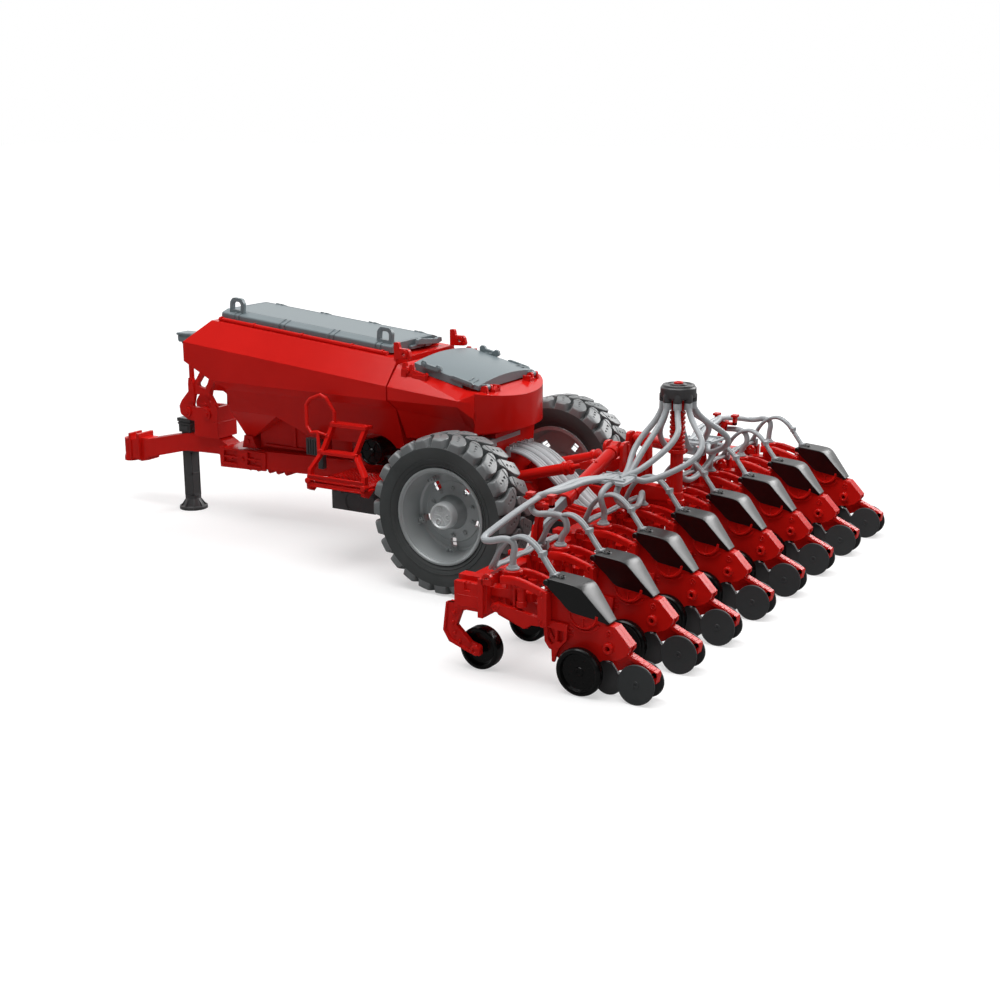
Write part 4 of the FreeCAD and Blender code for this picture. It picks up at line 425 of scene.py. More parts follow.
RED = moulded("red_plastic", (0.62, 0.0105, 0.0075, 1), 0.17, shine=0.17, slot="red_plastic")
BLACK = moulded("black_plastic", screen(70, 70, 71), 0.3, grain=2200.0, depth=0.02, shine=0.35,
                slot="black_plastic")
dress(RED, "chassis_frame", "axle")
BEAM_SIDE = 15.6
trim = Shape()                       # raised bay on each side of the beam, with two ribbed pockets
bay = Shape().plate([(271.6, 45.8), (272.2, 62.4), (223, 62.6), (223.6, 47.2)], BEAM_SIDE, 17.3)
bay.minus(Shape().plate([(268.1, 49.8), (267.6, 60.5), (252.4, 60.8), (252.9, 49.8)], 15.0, 18)
          .plate([(242.7, 50.2), (242.2, 61.2), (227.4, 61.3), (227.9, 50.4)], 15.0, 18))
trim.add(bay)
for x in (253, 228):                 # shelf, sill and clip of each pocket
    trim.block(x - 0.2, x + 15.2, 15.8, 16.9, 54.6, 56.0)
    trim.block(x - 0.2, x + 15.2, 15.8, 18.0, 49.0, 50.4)
    trim.block(x + 6.4, x + 8.6, 15.8, 17.1, 53.2, 55.0)
trim.pin(1.7, BEAM_SIDE, 18.3, (247.4, 0, 54.7), steps=24, crown=(0.5, 0.4))
trim.both()
for x in (245, 236.5, 224, 215.5, 206.5):    # lashing knobs under the beam
    trim.pin(2.4, -11, 11, (x, 0, 46.6))
# the collars of the hitch head
trim.block(371.4, 374.0, -9.2, 9.2, 38.6, 61.2).block(383.0, 385.0, -7.4, 7.4, 38.6, 60.4)
fit("beam_trim", trim, RED, "chassis")


# ---------------------------------------------------------------------------
# Front tank: a hollow red moulding with faceted funnels and its keel below.
# A hose stand with a grey head rises from the front bracket, and the black
# calibration grip hangs beside the ladder.
# ---------------------------------------------------------------------------
dress(RED, "front_tank", "front_bracket")
LID = moulded("lid_plastic", screen(116, 127, 131), 0.34, mottle=0.03, grain=1900.0, depth=0.02,
              shine=0.4, slot="lid_plastic")
stand = Shape().block(303.0, 306.2, 9.0, 11.9, 111.6, 148)
stand.block(301.0, 307.0, 11.7, 13.2, 97, 112)
stand.plate([(301, 112), (307, 112), (306.2, 117), (303, 117)], 9.0, 13.2)
fit("hose_stand", stand, RED, "chassis")
stand_head = Shape().plate([(297.6, 147.6), (311.4, 147.6), (312.4, 149.0), (312.4, 153.6),
                            (311.6, 155), (296.6, 155.6), (296.6, 149)], 4, 16.4)
stand_head.block(295.8, 313.2, 3.2, 17.2, 153.4, 155.2).block(299, 310, 6, 14.6, 146, 148)
fit("hose_stand_head", stand_head, LID, "chassis", bevel=0.4)
keel = Shape().plate([(166, 60), (166, 96), (176, 112), (226, 112), (236, 88), (236, 60)], -7, 7)
keel.block(170, 230, -9, 9, 66, 68.4)
keel.block(172, 176, -8.4, 8.4, 66, 98)
keel.block(198, 202, -8.4, 8.4, 66, 104)
fit("tank_keel", keel, RED, "chassis", bevel=0.4)
grip = Shape().block(150.6, 161.4, 36.4, 41.6, 73.4, 86.8)
for x in (151.6, 154.0, 156.4, 158.8):
    grip.block(x, x + 1.3, 41.4, 42.6, 74.0, 86.2)
grip.block(152.6, 159.4, 30, 36.8, 77, 83).block(153.6, 158.4, 26, 31, 60, 83)
fit("calibration_grip", grip, BLACK, "chassis", bevel=0.4)


# ---------------------------------------------------------------------------
# Front lid: a grey shallow cover hinged along the tank's right edge, with
# four pairs of ribbed straps, two loops and a lever latch at its rear end.
# ---------------------------------------------------------------------------
dress(LID, "front_lid")
latch = Shape().plate([(4.0, 161.0), (3.4, 164.6), (-1.6, 165.6), (-5, 164.6), (-22, 162.4),
                       (-24.4, 163.4), (-29, 162.8), (-29.6, 159.6), (-24, 158.4), (-4, 160.2)],
                      79.4, 82.2, across="x")
latch.plate([(-3, 160.8), (-3, 163.4), (-21, 161.4), (-21, 159.6)], 81.8, 85.4, across="x")
latch.block(80.4, 84.8, -16, -8, 158.0, 161.0)
fit("front_lid_latch", latch, LID, "front_lid_body", bevel=0.3)
LID_END, LID_END_TOP, LID_SLOPE = 255.0, 180.6, 0.0925
LIP_SUNK, LIP_RISE = 0.6, 0.15


def lid_top(x):
    """Height of the lid's flat top, which falls towards the rear."""
    return LID_END_TOP - (LID_END - x) * LID_SLOPE


lip = Shape()                        # raised lip round the flat top
for x0, x1, y0, y1 in ((86.5, 248.5, 22.2, 23.0), (86.5, 248.5, -23.0, -22.2),
                       (86.5, 87.3, -23, 23), (247.7, 248.5, -23, 23)):
    lip.loft([[(x, y, lid_top(x) + rise) for x, y in ((x0, y0), (x1, y0), (x1, y1), (x0, y1))]
              for rise in (-LIP_SUNK, LIP_RISE)])
fit("front_lid_lip", lip, LID, "front_lid_body")


# ---------------------------------------------------------------------------
# Rear hopper: a red moulding pressed against the tank, with the lid's hinge
# brackets, two catch hooks a side and a pale deflector plate below it.
# ---------------------------------------------------------------------------
dress(RED, "rear_hopper")
HOSE = moulded("hose_plastic", screen(168, 172, 175), 0.36, grain=1400.0, depth=0.012, edge=0.0,
               shine=0.4, slot="hose_plastic")
hooks = Shape()
hooks.plate([(66, 142), (66, 153), (64.8, 154.6), (62.6, 154.4), (62.2, 151.4), (60, 150.6),
             (59.4, 153.2), (57.4, 153.4), (56.8, 149.6), (48, 147.4), (45.4, 148.2), (44, 146.6),
             (44.4, 142), (50, 140)], 42.6, 45.4)
hooks.block(61.8, 66, 41.4, 46.6, 143.6, 150.2).block(45, 57, 41.4, 46.2, 141, 146.2)
hooks.pin(1.5, 41.4, 46.8, (60.8, 0, 148.6))
hooks.block(-4.4, 1.8, 21.4, 23.2, 132.6, 140.4).block(-4.2, -2.6, 22, 29, 132.4, 138.2)
hooks.plate([(22, 133.4), (22, 139.6), (23.6, 139.6), (28.8, 135.2), (28.8, 133.4)], -2.8, -0.6,
            across="x")
hooks.plate([(28.8, 133.4), (28.8, 139.6), (27.2, 139.6), (22, 135.2), (22, 133.4)], 0.2, 1.6,
            across="x")
hooks.both()
fit("hopper_brackets", hooks, RED, "chassis")
deflector = Shape().block(-4.5, -3.1, -7, 36, 95.6, 101.6).block(-4.4, 11.4, -7, 36, 100.3, 101.6)
deflector.block(-3.4, -2.2, -5, -3.4, 96, 101).block(-3.4, -2.2, 32, 33.6, 96, 101)
fit("deflector_plate", deflector, HOSE, "chassis", bevel=0.3)


# ---------------------------------------------------------------------------
# Rear lid: an arched grey cover on two pins behind it, held shut by a pair
# of lever latches on each side.
# ---------------------------------------------------------------------------
dress(LID, "rear_lid")
levers = Shape().plate([(51.4, 152.6), (51.4, 155.6), (49.8, 157.0), (47.0, 156.4), (46.2, 154.6),
                        (38.6, 152.9), (37.4, 154.4), (34.6, 153.6), (33.6, 150.6), (35.6, 149.0),
                        (49.6, 151.6)], 39.6, 42.2)
levers.block(40, 47, 38.6, 40.4, 148.4, 151.6)
levers.plate([(26.2, 145.4), (25.8, 147.4), (23.6, 147.6), (8.2, 143.8), (6.6, 142.2), (8, 141.0)],
             39.6, 41.4)
for x, z in ((48.8, 153.9), (36.0, 151.8)):
    levers.pin(1.5, 39.8, 43.0, (x, 0, z))
levers.both()
fit("rear_lid_levers", levers, LID, "rear_lid_body", bevel=0.25)


# ---------------------------------------------------------------------------
# Ladder and platform: one red moulding clipped to the left rail, its floor
# covered with raised grip studs and closed by a double kerb.
# ---------------------------------------------------------------------------
dress(RED, "platform")
STUD_ROWS, STUDS_A_ROW, STUD_PITCH = 13, 12, 3.2
STUD_CORNER = (86, 77.4, 63.9)


def repeat_tree():
    """Copies a form: `Count` times, each `Step` on and `Turn` round `Pivot` from the last."""
    tree = bpy.data.node_groups.new("repeated_form", "GeometryNodeTree")
    face = tree.interface
    face.new_socket("Geometry", in_out="INPUT", socket_type="NodeSocketGeometry")
    for name, kind in (("Count", "Int"), ("Step", "Vector"), ("Turn", "Vector"),
                       ("Pivot", "Vector"), ("Start", "Vector"), ("Finish", "Material")):
        face.new_socket(name, in_out="INPUT", socket_type="NodeSocket" + kind)
    face.new_socket("Geometry", in_out="OUTPUT", socket_type="NodeSocketGeometry")

    def out(kind, inputs=None, **settings):
        return wired(tree, kind, inputs, **settings).outputs[0]

    def times(vector, factor):
        return out("ShaderNodeVectorMath", {0: vector, "Scale": factor}, operation="SCALE")

    given = wired(tree, "NodeGroupInput").outputs
    index = out("GeometryNodeInputIndex")
    place = out("ShaderNodeVectorMath", {0: times(given["Step"], index), 1: given["Start"]},
                operation="ADD")
    points = out("GeometryNodePoints", {"Count": given["Count"], "Position": place})
    turned = out("FunctionNodeEulerToRotation", {0: times(given["Turn"], index)})
    back = times(given["Pivot"], -1.0)
    centred = out("GeometryNodeTransform", {"Geometry": given["Geometry"], "Translation": back})
    copies = out("GeometryNodeInstanceOnPoints",
                 {"Points": points, "Instance": centred, "Rotation": turned})
    solid = out("GeometryNodeRealizeInstances", {0: copies})
    painted = out("GeometryNodeSetMaterial", {"Geometry": solid, "Material": given["Finish"]})
    wired(tree, "NodeGroupOutput", {0: painted})
    return tree


REPEAT = repeat_tree()


def repeated(mesh, material, count, step=(0, 0, 0), turn=(0, 0, 0), pivot=(0, 0, 0), start=None,
             bevel=0.0):
    """A plain mesh of `count` copies; lengths in millimetres, turns in radians."""
    def in_model(p):
        return Vector((p[0] * MM + AXLE_X, p[1] * MM, p[2] * MM))

    seed = bpy.data.objects.new("seed", mesh)
    bpy.context.scene.collection.objects.link(seed)
    if bevel:
        soften(seed, bevel)
    maker = seed.modifiers.new("repeat", "NODES")
    maker.node_group = REPEAT
    given = {"Count": count, "Step": Vector([s * MM for s in step]), "Turn": Vector(turn),
             "Pivot": in_model(pivot), "Start": in_model(pivot if start is None else start),
             "Finish": material}
    for item in REPEAT.interface.items_tree:
        if item.in_out == "INPUT" and item.name in given:
            maker[item.identifier] = given[item.name]
    seed.update_tag()
    made = baked(seed)
    bpy.data.objects.remove(seed)
    return made


def other_side(mesh, name):
    """The same mesh for the right-hand side."""
    twin = mesh.copy()
    twin.name = name
    twin.transform(Matrix.Scale(-1, 4, (0, 1, 0)))
    twin.flip_normals()
    return twin


stud = Shape().turn([(1.05, 0), (0.75, 0.55), (0, 0.8)], STUD_CORNER, UP, 8).data("stud")
strip = repeated(stud, RED, STUDS_A_ROW, step=(STUD_PITCH, 0, 0), pivot=STUD_CORNER)
studs = repeated(strip, RED, STUD_ROWS, step=(0, -STUD_PITCH, 0), pivot=STUD_CORNER)
fit("platform_studs", studs, RED, "chassis")
kerb = Shape()
for z0, z1 in ((61.2, 62.6), (66.0, 67.2), (69.2, 70.4)):
    kerb.block(76.6, 127.4, 82.4, 84.0, z0, z1)
for x in (76.4, 127.6):
    kerb.pin(2.3, 79.4, 84.8, (x, 0, 65.4), steps=24, crown=(0.5, 0.4))
for x, y, z in ((118.6, 62, 106.6), (88.4, 62, 106.6), (122.6, 72.4, 86.6), (90.4, 72.4, 86.6)):
    kerb.pin(1.7, -1.4, 1.4, (x, y, z), UP, 20, crown=(0.5, 0.4))
fit("platform_kerb", kerb, RED, "chassis", bevel=0.25)


# ---------------------------------------------------------------------------
# Parking jack: a black square leg that slides in the drawbar.  Thin ribs
# frame a panel on each face, and it has a stepped head and a ribbed foot.
# ---------------------------------------------------------------------------
dress(BLACK, "parking_jack")
JACK_AT, LEG_HALF = 320.0, 4.75
JACK_LINE = (JACK_AT, 0, 0)
# the ribs stay inside the drawbar's hole
RIB_IN, RIB_OUT = JACK_AT + LEG_HALF - 0.4, JACK_AT + LEG_HALF + 0.2
ribs, crown = Shape(), Shape()
for side in range(4):
    frame_ribs = Shape()
    for y in (-LEG_HALF, LEG_HALF - 1.1):
        frame_ribs.block(RIB_IN, RIB_OUT, y, y + 1.1, 12, 50)
    for z in (12, 30.8, 48.8):
        frame_ribs.block(RIB_IN, RIB_OUT, -LEG_HALF, LEG_HALF, z, z + 1.2)
    ribs.add(frame_ribs.spin(90 * side, "Z", JACK_LINE))
    steps = Shape().block(JACK_AT + 6.0, JACK_AT + 7.0, -6.8, 6.8, 74.6, 76.2)
    steps.block(JACK_AT + 6.0, JACK_AT + 7.0, -4.2, 4.2, 69.4, 73.4)
    crown.add(steps.spin(90 * side, "Z", JACK_LINE))
for i in range(8):
    foot_rib = [(4.4, 1.4), (11.2, 1.4), (11.0, 2.4), (6.4, 8.8), (4.4, 8.8)]
    rib = Shape().plate([(JACK_AT + r, z) for r, z in foot_rib], -0.6, 0.6)
    ribs.add(rib.spin(45 * i, "Z", JACK_LINE))
ribs.turn([(10.6, 0.2), (12.0, 0.2), (12.0, 2.4), (11.5, 2.8), (10.9, 2.6), (10.6, 2.0)], JACK_LINE,
          UP, 48, closed=True)
fit("jack_ribs", ribs, BLACK, "jack")
fit("jack_crown", crown, BLACK, "jack", bevel=0.25)


# ---------------------------------------------------------------------------
# Toolbox and blower: a black box hung on the rail with its lid line and a
# sunk bare field, and the blower's gloss-black drum under the tank.
# ---------------------------------------------------------------------------
GLOSS_BLACK = moulded("wheel_black", screen(12, 12, 12), 0.2, grain=1600.0, depth=0.006, edge=0.3,
                      shine=0.3, slot="wheel_black")
BLOWER_AT, BLADES = (102.5, 0, 81), 6
dress(BLACK, "toolbox")
dress(GLOSS_BLACK, "fan_housing")
box_trim = Shape()
field = Shape().block(90.6, 130.4, 49.4, 50.5, 36.6, 50.2)
field.minus(Shape().pin(7.2, 49.9, 52, (110.5, 0, 43.6), steps=48))
box_trim.add(field).block(89.6, 131.4, 25.8, 50.9, 51.2, 52.4)
for x in (96, 121):                  # lid catches
    box_trim.block(x, x + 4, 49.4, 51.4, 49.4, 54)
fit("toolbox_trim", box_trim, BLACK, "chassis", bevel=0.3)
rim_ring = Shape().turn([(8.8, 35), (10.3, 35), (10.3, 36.6), (9.9, 37.1), (9.2, 37.1),
                         (8.8, 36.6)], BLOWER_AT, steps=64, closed=True)
rim_ring.pin(3.2, 35.8, 37.8, BLOWER_AT, steps=40, crown=(0.8, 0.8))
for i in range(BLADES):
    spoke = Shape().block(105, 112.0, 35.6, 36.6, 80.4, 81.6)
    rim_ring.add(spoke.spin(360 / BLADES * i, "Y", BLOWER_AT))
fit("blower_rim", rim_ring, GLOSS_BLACK, "chassis")


# ---------------------------------------------------------------------------
# Road wheels: a silver-grey plastic rim with a deep dish, five clamp slots
# and a turned hub cap, and a soft black tyre with two rows of chevron lugs
# pulled over its bead seat.
# ---------------------------------------------------------------------------
WHEEL_Y, WHEEL_R = 82.0, 57.5
NAVE = (0.0, WHEEL_Y, WHEEL_R)       # middle of the left wheel
LUGS, CLAMPS, NUTS, CAP_BOLTS = 24, 5, 10, 3          # lugs on each side of the tread


def on_tread(side, w, t, r):
    """Point at axial place w and length t along the tread, r from the axle."""
    return (r * math.sin(t / WHEEL_R), WHEEL_Y + side * w, WHEEL_R + r * math.cos(t / WHEEL_R))


def lug(side):
    """One chevron bar of the left tyre: from just past the crown line, out over
    the shoulder and down the sidewall, with three oval dimples and a curved groove."""
    # axial place, outer and inner radius, rear and front edge along the tread, flank
    stations = [(-0.8, 57.2, 52.0, 6.6, 10.0, 0.6), (1.4, 57.5, 52.0, 3.4, 11.2, 0.7),
                (4.5, 57.4, 51.8, -0.4, 10.8, 0.8), (8.0, 57.2, 51.6, -3.6, 8.8, 0.9),
                (11.5, 57.0, 51.2, -5.2, 6.8, 1.1), (14.6, 56.7, 50.6, -5.2, 5.6, 1.4),
                (16.6, 56.2, 50.2, -4.4, 4.8, 1.8), (17.5, 55.5, 50.0, -3.6, 4.0, 2.3),
                (17.85, 54.7, 49.6, -2.8, 3.2, 2.6)]
    rings = []
    for w, high, low, rear, front, slope in stations:
        shoulder = high - 0.35
        ring = ((rear - slope, low), (rear, shoulder), (rear + 0.5, high),
                ((rear + front) / 2, high), (front - 0.5, high), (front, shoulder),
                (front + slope, low))
        rings.append([on_tread(side, w, t, r) for t, r in ring])
    dips = Shape()
    for w, t in ((5.9, 4.4), (9.2, 2.6), (12.5, 1.2)):
        out = Vector((math.sin(t / WHEEL_R), 0, math.cos(t / WHEEL_R)))
        dips.turn([(0, -1.3), (0.75, -1.1), (1.15, -0.5), (1.15, 1.2), (0, 1.2)],
                  on_tread(side, w, t, WHEEL_R + 0.1), out, 10)
    dips.tube([on_tread(side, w, t, WHEEL_R) for w, t in (
        (3.4, -2.2), (2.9, 1.4), (2.6, 5.4), (3.0, 9.0), (3.8, 12.4))], 0.6, 8)
    return Shape().loft(rings).minus(dips)


tyre_rubber = Finish("tyre_rubber")
here = tyre_rubber.node("ShaderNodeTexCoord", output=3)
mould_tone = tyre_rubber.node("ShaderNodeTexNoise", None,
                              {"Vector": here, "Scale": 30.0, "Detail": 4.0})
mould_skin = tyre_rubber.node("ShaderNodeTexNoise", None,
                              {"Vector": here, "Scale": 1800.0, "Detail": 2.0})
tyre_rubber.set(
    Base_Color=tyre_rubber.node("ShaderNodeValToRGB", {"stops": [
        (0.3, screen(62, 65, 65)), (0.7, screen(75, 78, 78))]}, {"Fac": mould_tone}),
    Roughness=0.62 + (mould_tone - 0.5) * 0.15,
    Normal=tyre_rubber.node("ShaderNodeBump", None, {"Height": mould_skin, "Distance": 0.00003}))
tyre_rubber.shader.inputs["Specular IOR Level"].default_value = 0.35
TYRE = tyre_rubber.material
SLOTS[TYRE] = "tyre_rubber"
# the lugs are the tyre's own rubber painted lighter than the carcass: painted light standing in for
# the overhead lamp on the lug tops
TREAD_PAINTED_LIGHTER = moulded("tyre_tread", screen(114, 117, 118), 0.33, grain=1700.0, depth=0.02, edge=0.5,
                slot="tyre_rubber")
RIM = moulded("rim_plastic", screen(188, 193, 194), 0.36, grain=1300.0, edge=0.5, metal=0.6,
              slot="rim_plastic")
CAP = moulded("hub_cap_plastic", screen(222, 226, 227), 0.36, grain=1300.0, edge=0.4, metal=0.4,
              slot="rim_plastic")

outer_half = [(34.06, 14.4), (36.6, 14.9), (38.2, 16.2), (40.0, 17.0), (44.0, 17.7), (47.5, 17.9),
              (50.2, 17.86), (51.0, 17.0), (51.5, 12.0), (52.2, 6.0)]
inner_half = [(r, -w) for r, w in reversed(outer_half)]
carcass = Shape().turn([*outer_half, (52.4, 0.0), *inner_half], NAVE, steps=120, closed=True)
carcass.turn([(36.9, 15.0), (38.4, 16.2), (38.1, 16.7), (36.9, 15.9), (36.0, 15.2)], NAVE,
             steps=120, closed=True)
carcass.turn([(41.15, 17.0), (41.85, 17.2), (41.7, 17.7), (41.3, 17.6)], NAVE, steps=120,
             closed=True)
carcass_left = carcass.data("tyre_carcass_left")
carcass_right = other_side(carcass_left, "tyre_carcass_right")
pitch_turn = 2 * math.pi / LUGS
outer_lugs = repeated(lug(1).data("lug"), TREAD_PAINTED_LIGHTER, LUGS, turn=(0, pitch_turn, 0), pivot=NAVE)
inner_seed = lug(-1).spin(math.degrees(pitch_turn / 2), "Y", NAVE)
inner_lugs = repeated(inner_seed.data("lug"), TREAD_PAINTED_LIGHTER, LUGS, turn=(0, pitch_turn, 0), pivot=NAVE)
tyre_left = (carcass_left, outer_lugs, inner_lugs)
tyre_right = (carcass_right, other_side(outer_lugs, "lugs_outer_right"),
              other_side(inner_lugs, "lugs_inner_right"))
for side, (carcass_mesh, outer, inner) in (("left", tyre_left), ("right", tyre_right)):
    body = "wheel_" + side
    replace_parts(fit("tyre_carcass_" + side, carcass_mesh, TYRE, body), "tyre_" + side)
    fit("tyre_lugs_outer_" + side, outer, TREAD_PAINTED_LIGHTER, body)
    fit("tyre_lugs_inner_" + side, inner, TREAD_PAINTED_LIGHTER, body)

rim = Shape().turn([(35.4, 16), (35.4, 14.6), (33.8, 14.6), (33.4, 10), (31.6, 6), (31.0, -4),
                    (33.4, -10), (33.8, -14.6), (35.4, -14.6), (35.4, -16), (32.6, -16),
                    (31.6, -11), (29.4, -6), (27, -5.5), (12.5, -3.4), (11, -14), (4.1, -14),
                    (4.1, 8.0), (9.4, 8.0), (12.6, -0.6), (20, -1.8), (27, -2.8), (28.6, -1.8),
                    (29.0, 3.6), (29.9, 5.2), (31.2, 11.6), (32.0, 13.2), (32.3, 14.6),
                    (33.1, 15.0), (33.5, 15.9), (34.4, 16.4)], NAVE, steps=120, closed=True)
slots = Shape()
for i in range(CLAMPS):
    slots.add(Shape().block(-2.4, 2.4, WHEEL_Y - 8, WHEEL_Y + 2, WHEEL_R + 19.0, WHEEL_R + 25.6)
              .spin(360 / CLAMPS * (i + 0.5), "Y", NAVE))
rim.minus(slots)
rim.turn([(21.9, -2.3), (22.5, -2.3), (22.4, -1.75), (22.0, -1.75)], NAVE, steps=96, closed=True)
rim_left = rim.data("rim_left")
hub = Shape().turn([(0, 12.8), (7.2, 12.8), (7.5, 13.6), (8.2, 14.6), (9.0, 14.4), (9.6, 13.2),
                    (9.8, 7.6), (0, 7.6)], NAVE, steps=60)
for i in range(CAP_BOLTS):           # in round recesses, with a rib between each two
    a = math.radians(360 / CAP_BOLTS * i + 24)
    middle = (5.0 * math.sin(a), WHEEL_Y, WHEEL_R + 5.0 * math.cos(a))
    hub.turn([(1.1, 12.6), (2.3, 12.6), (2.2, 13.5), (1.9, 13.7), (1.3, 13.5)], middle, steps=24,
             closed=True)
    hub.pin(0.75, 12.6, 13.4, middle, steps=6)
    hub.add(Shape().block(-0.35, 0.35, WHEEL_Y + 12.6, WHEEL_Y + 13.4, WHEEL_R + 0.8, WHEEL_R + 6.8)
            .spin(360 / CAP_BOLTS * i + 84, "Y", NAVE))
hub_left = hub.data("hub_cap_left")
NUT_AT = (0, WHEEL_Y, WHEEL_R + 17.2)
nut = Shape().turn([(0, -1.6), (0, 0.3), (1.4, 0.3), (1.7, 0.1), (1.7, -1.6)], NUT_AT, steps=18)
nut.pin(0.95, 0.2, 1.1, NUT_AT, steps=6)
nuts_left = repeated(nut.data("wheel_nut"), RIM, NUTS, turn=(0, 2 * math.pi / NUTS, 0), pivot=NAVE)
clamp = Shape().block(-2.0, 2.0, WHEEL_Y - 3, WHEEL_Y + 2.0, WHEEL_R + 25.4, WHEEL_R + 29.2)
clamp.block(-3.1, 3.1, WHEEL_Y - 3, WHEEL_Y + 0.4, WHEEL_R + 24.8, WHEEL_R + 28.6)
clamp.pin(1.2, 1.8, 3.2, (0, WHEEL_Y, WHEEL_R + 27.2), steps=6)
for x in (-2.8, 2.0):
    clamp.block(x, x + 0.8, WHEEL_Y - 1, WHEEL_Y + 3.4, WHEEL_R + 27.0, WHEEL_R + 29.4)
clamp_seed = clamp.spin(180 / CLAMPS, "Y", NAVE).data("rim_clamp")
clamps_left = repeated(clamp_seed, RIM, CLAMPS, turn=(0, 2 * math.pi / CLAMPS, 0), pivot=NAVE,
                       bevel=0.25)
left = (rim_left, hub_left, nuts_left, clamps_left)
for side, meshes in (("left", left), ("right", [other_side(m, m.name + "_r") for m in left])):
    body = "wheel_" + side
    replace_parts(fit("rim_" + side + "_dish", meshes[0], RIM, body), "rim_" + side)
    fit("hub_cap_" + side, meshes[1], CAP, body)
    fit("wheel_nuts_" + side, meshes[2], RIM, body)
    fit("rim_clamps_" + side, meshes[3], RIM, body)


# ---------------------------------------------------------------------------
# Toolbar: the red centre bar with its tower and lift arms, and two wings on
# fold pins.  A wing has a square capped end, a leaning fork that holds the
# seed hoses, and a ribbed arm on the outside of each support wheel.
# ---------------------------------------------------------------------------
dress(RED, "toolbar_centre")
BAR_BACK, BAR_FRONT, BAR_LOW, BAR_TOP = -107.0, -90.0, 41.0, 57.0
FOLD_AT = (118.0, 61.0)              # pin between centre and wing: across, up
SUPPORT_X, SUPPORT_Z = -102.0, 13.6  # axle of the support wheels
SUPPORT_YS = (147.5, 206.5)          # in line with the wing's two rows
POST_FOOT, POST_TOP = (-102.6, 139.0), (-110.6, 147.8)
wing = Shape()
wing.block(BAR_BACK, BAR_FRONT, 118.8, 216.2, BAR_LOW, BAR_TOP)
cap = Shape().block(BAR_BACK - 0.8, BAR_FRONT + 0.8, 213.6, 217.6, BAR_LOW - 0.8, BAR_TOP + 0.8)
cap.minus(Shape().block(-100.6, -96.4, 215.2, 219, 52.6, 59))        # notch in the top of the cap
wing.add(cap).block(-106.2, -91.0, 216, 218.0, 42.4, 49.6)
for a, b in ((BAR_FRONT, -94.0), (-103.0, BAR_BACK)):
    wing.turn([(0, 0), (3.7, 0), (3.7, b - a), (0, b - a)], (a, *FOLD_AT), (1, 0, 0), 32)
    wing.plate([(118.0, 57.4), (124.8, 56), (124.8, 58.4), (120.6, 63.6), (118, 64.4)], min(a, b),
               max(a, b), across="x")
wing.pin(1.5, 0, 19, (-108, *FOLD_AT), (1, 0, 0), 20)
wing.plate([(122.2, 64.6), (122.2, 74), (123.6, 75.8), (126, 76.4), (128.4, 75.6), (130.2, 73.6),
            (135.4, 56), (121.8, 56), (122.4, 61)], -99.5, -96.5, across="x")
wing.plate([(129.8, 73), (131.4, 73), (137, 56), (134.6, 56)], -101.4, -94.6, across="x")


def cut(at, half_x, half_y, z):
    """Square cross-section of the leaning post, about a point of its middle line."""
    corners = ((-1, -1), (1, -1), (1, 1), (-1, 1))
    return [(at[0] + dx * half_x, at[1] + dy * half_y, z) for dx, dy in corners]


wing.loft([cut(POST_FOOT, 1.6, 4.4, 56.4), cut((-105.8, 143.4), 1.4, 3.0, 78),
           cut(POST_TOP, 2.0, 1.8, 93.6)])
wing.loft([cut(POST_FOOT, 2.8, 1.0, 56.4), cut(POST_TOP, 1.8, 0.8, 92)])      # its stiffening rib
wing.block(-119.6, -101.8, 145.8, 149.8, 91.6, 93.6)
for x in (-119.6, -104.2):           # the two arms of the fork
    wing.block(x, x + 2.4, 145.8, 149.8, 92, 99.4)
    wing.block(x - 1.2, x + 3.6, 145.0, 150.6, 98.2, 100.0)
wing.block(-112.6, -110.6, 146, 149.6, 92, 94.6)
for y in SUPPORT_YS:                 # ribbed arm outside each support wheel
    wing.plate([(-105.6, 11.4), (-104.4, 10.2), (-100.4, 10.0), (-98.8, 11.2), (-83.2, 16.6),
                (-78.8, 23.4), (-81.2, 42), (-94, 42), (-88.6, 28), (-99, 18.4), (-104.4, 17.2),
                (-105.6, 16)], y + 4.9, y + 7.3)
    wing.plate([(-99, 11.2), (-83.2, 16.6), (-78.8, 23.4), (-81.2, 42), (-82.6, 42), (-80.4, 24),
                (-84.0, 18.2), (-99.2, 12.8)], y + 7.0, y + 8.5)
    wing.plate([(-94, 42), (-88.6, 28), (-99, 18.4), (-98.4, 17.2), (-87.0, 27.6), (-92.2, 42)],
               y + 7.0, y + 8.5)
    for x, z in ((-90.6, 17.8), (-86.6, 22.4), (-85.6, 29), (-86.4, 35.4)):
        wing.pin(1.2, 6.8, 8.3, (x, y, z), steps=14, crown=(0.5, 0.2))
    axle = (SUPPORT_X, y, SUPPORT_Z)
    wing.turn([(0, 4.9), (3.4, 4.9), (3.4, 8.4), (2.8, 9.0), (1.5, 9.0), (1.3, 8.4), (0, 8.4)],
              axle, steps=32)
    wing.pin(1.5, -3.8, 6, axle)
    wing.block(-94, -82, y + 2.4, y + 7.2, 38, 42)
wing_mesh = wing.data("toolbar_wing_left")
for side, mesh in (("right", other_side(wing_mesh, "toolbar_wing_right")), ("left", wing_mesh)):
    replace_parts(fit("toolbar_wing_" + side, mesh, RED, "wing_" + side), "toolbar_" + side)
gussets = Shape()                    # with the pin heads of the tower and lift arms
for x, z in ((-27, 56), (-60, 53.6)):
    gussets.turn([(0, 27.6), (3.4, 27.6), (3.4, 29.4), (2.8, 30), (1.3, 30), (1.1, 29.4),
                  (0, 29.4)], (x, 0, z), steps=28)
gussets.plate([(-31, 53), (-31, 59), (-60, 58.4), (-84, 55), (-84, 43), (-60, 48.6)], 28.2, 29.2)
gussets.plate([(-36, 54.6), (-36, 57.4), (-58, 56.4), (-80, 52.4), (-80, 46), (-58, 51)], 29.0,
              29.9)
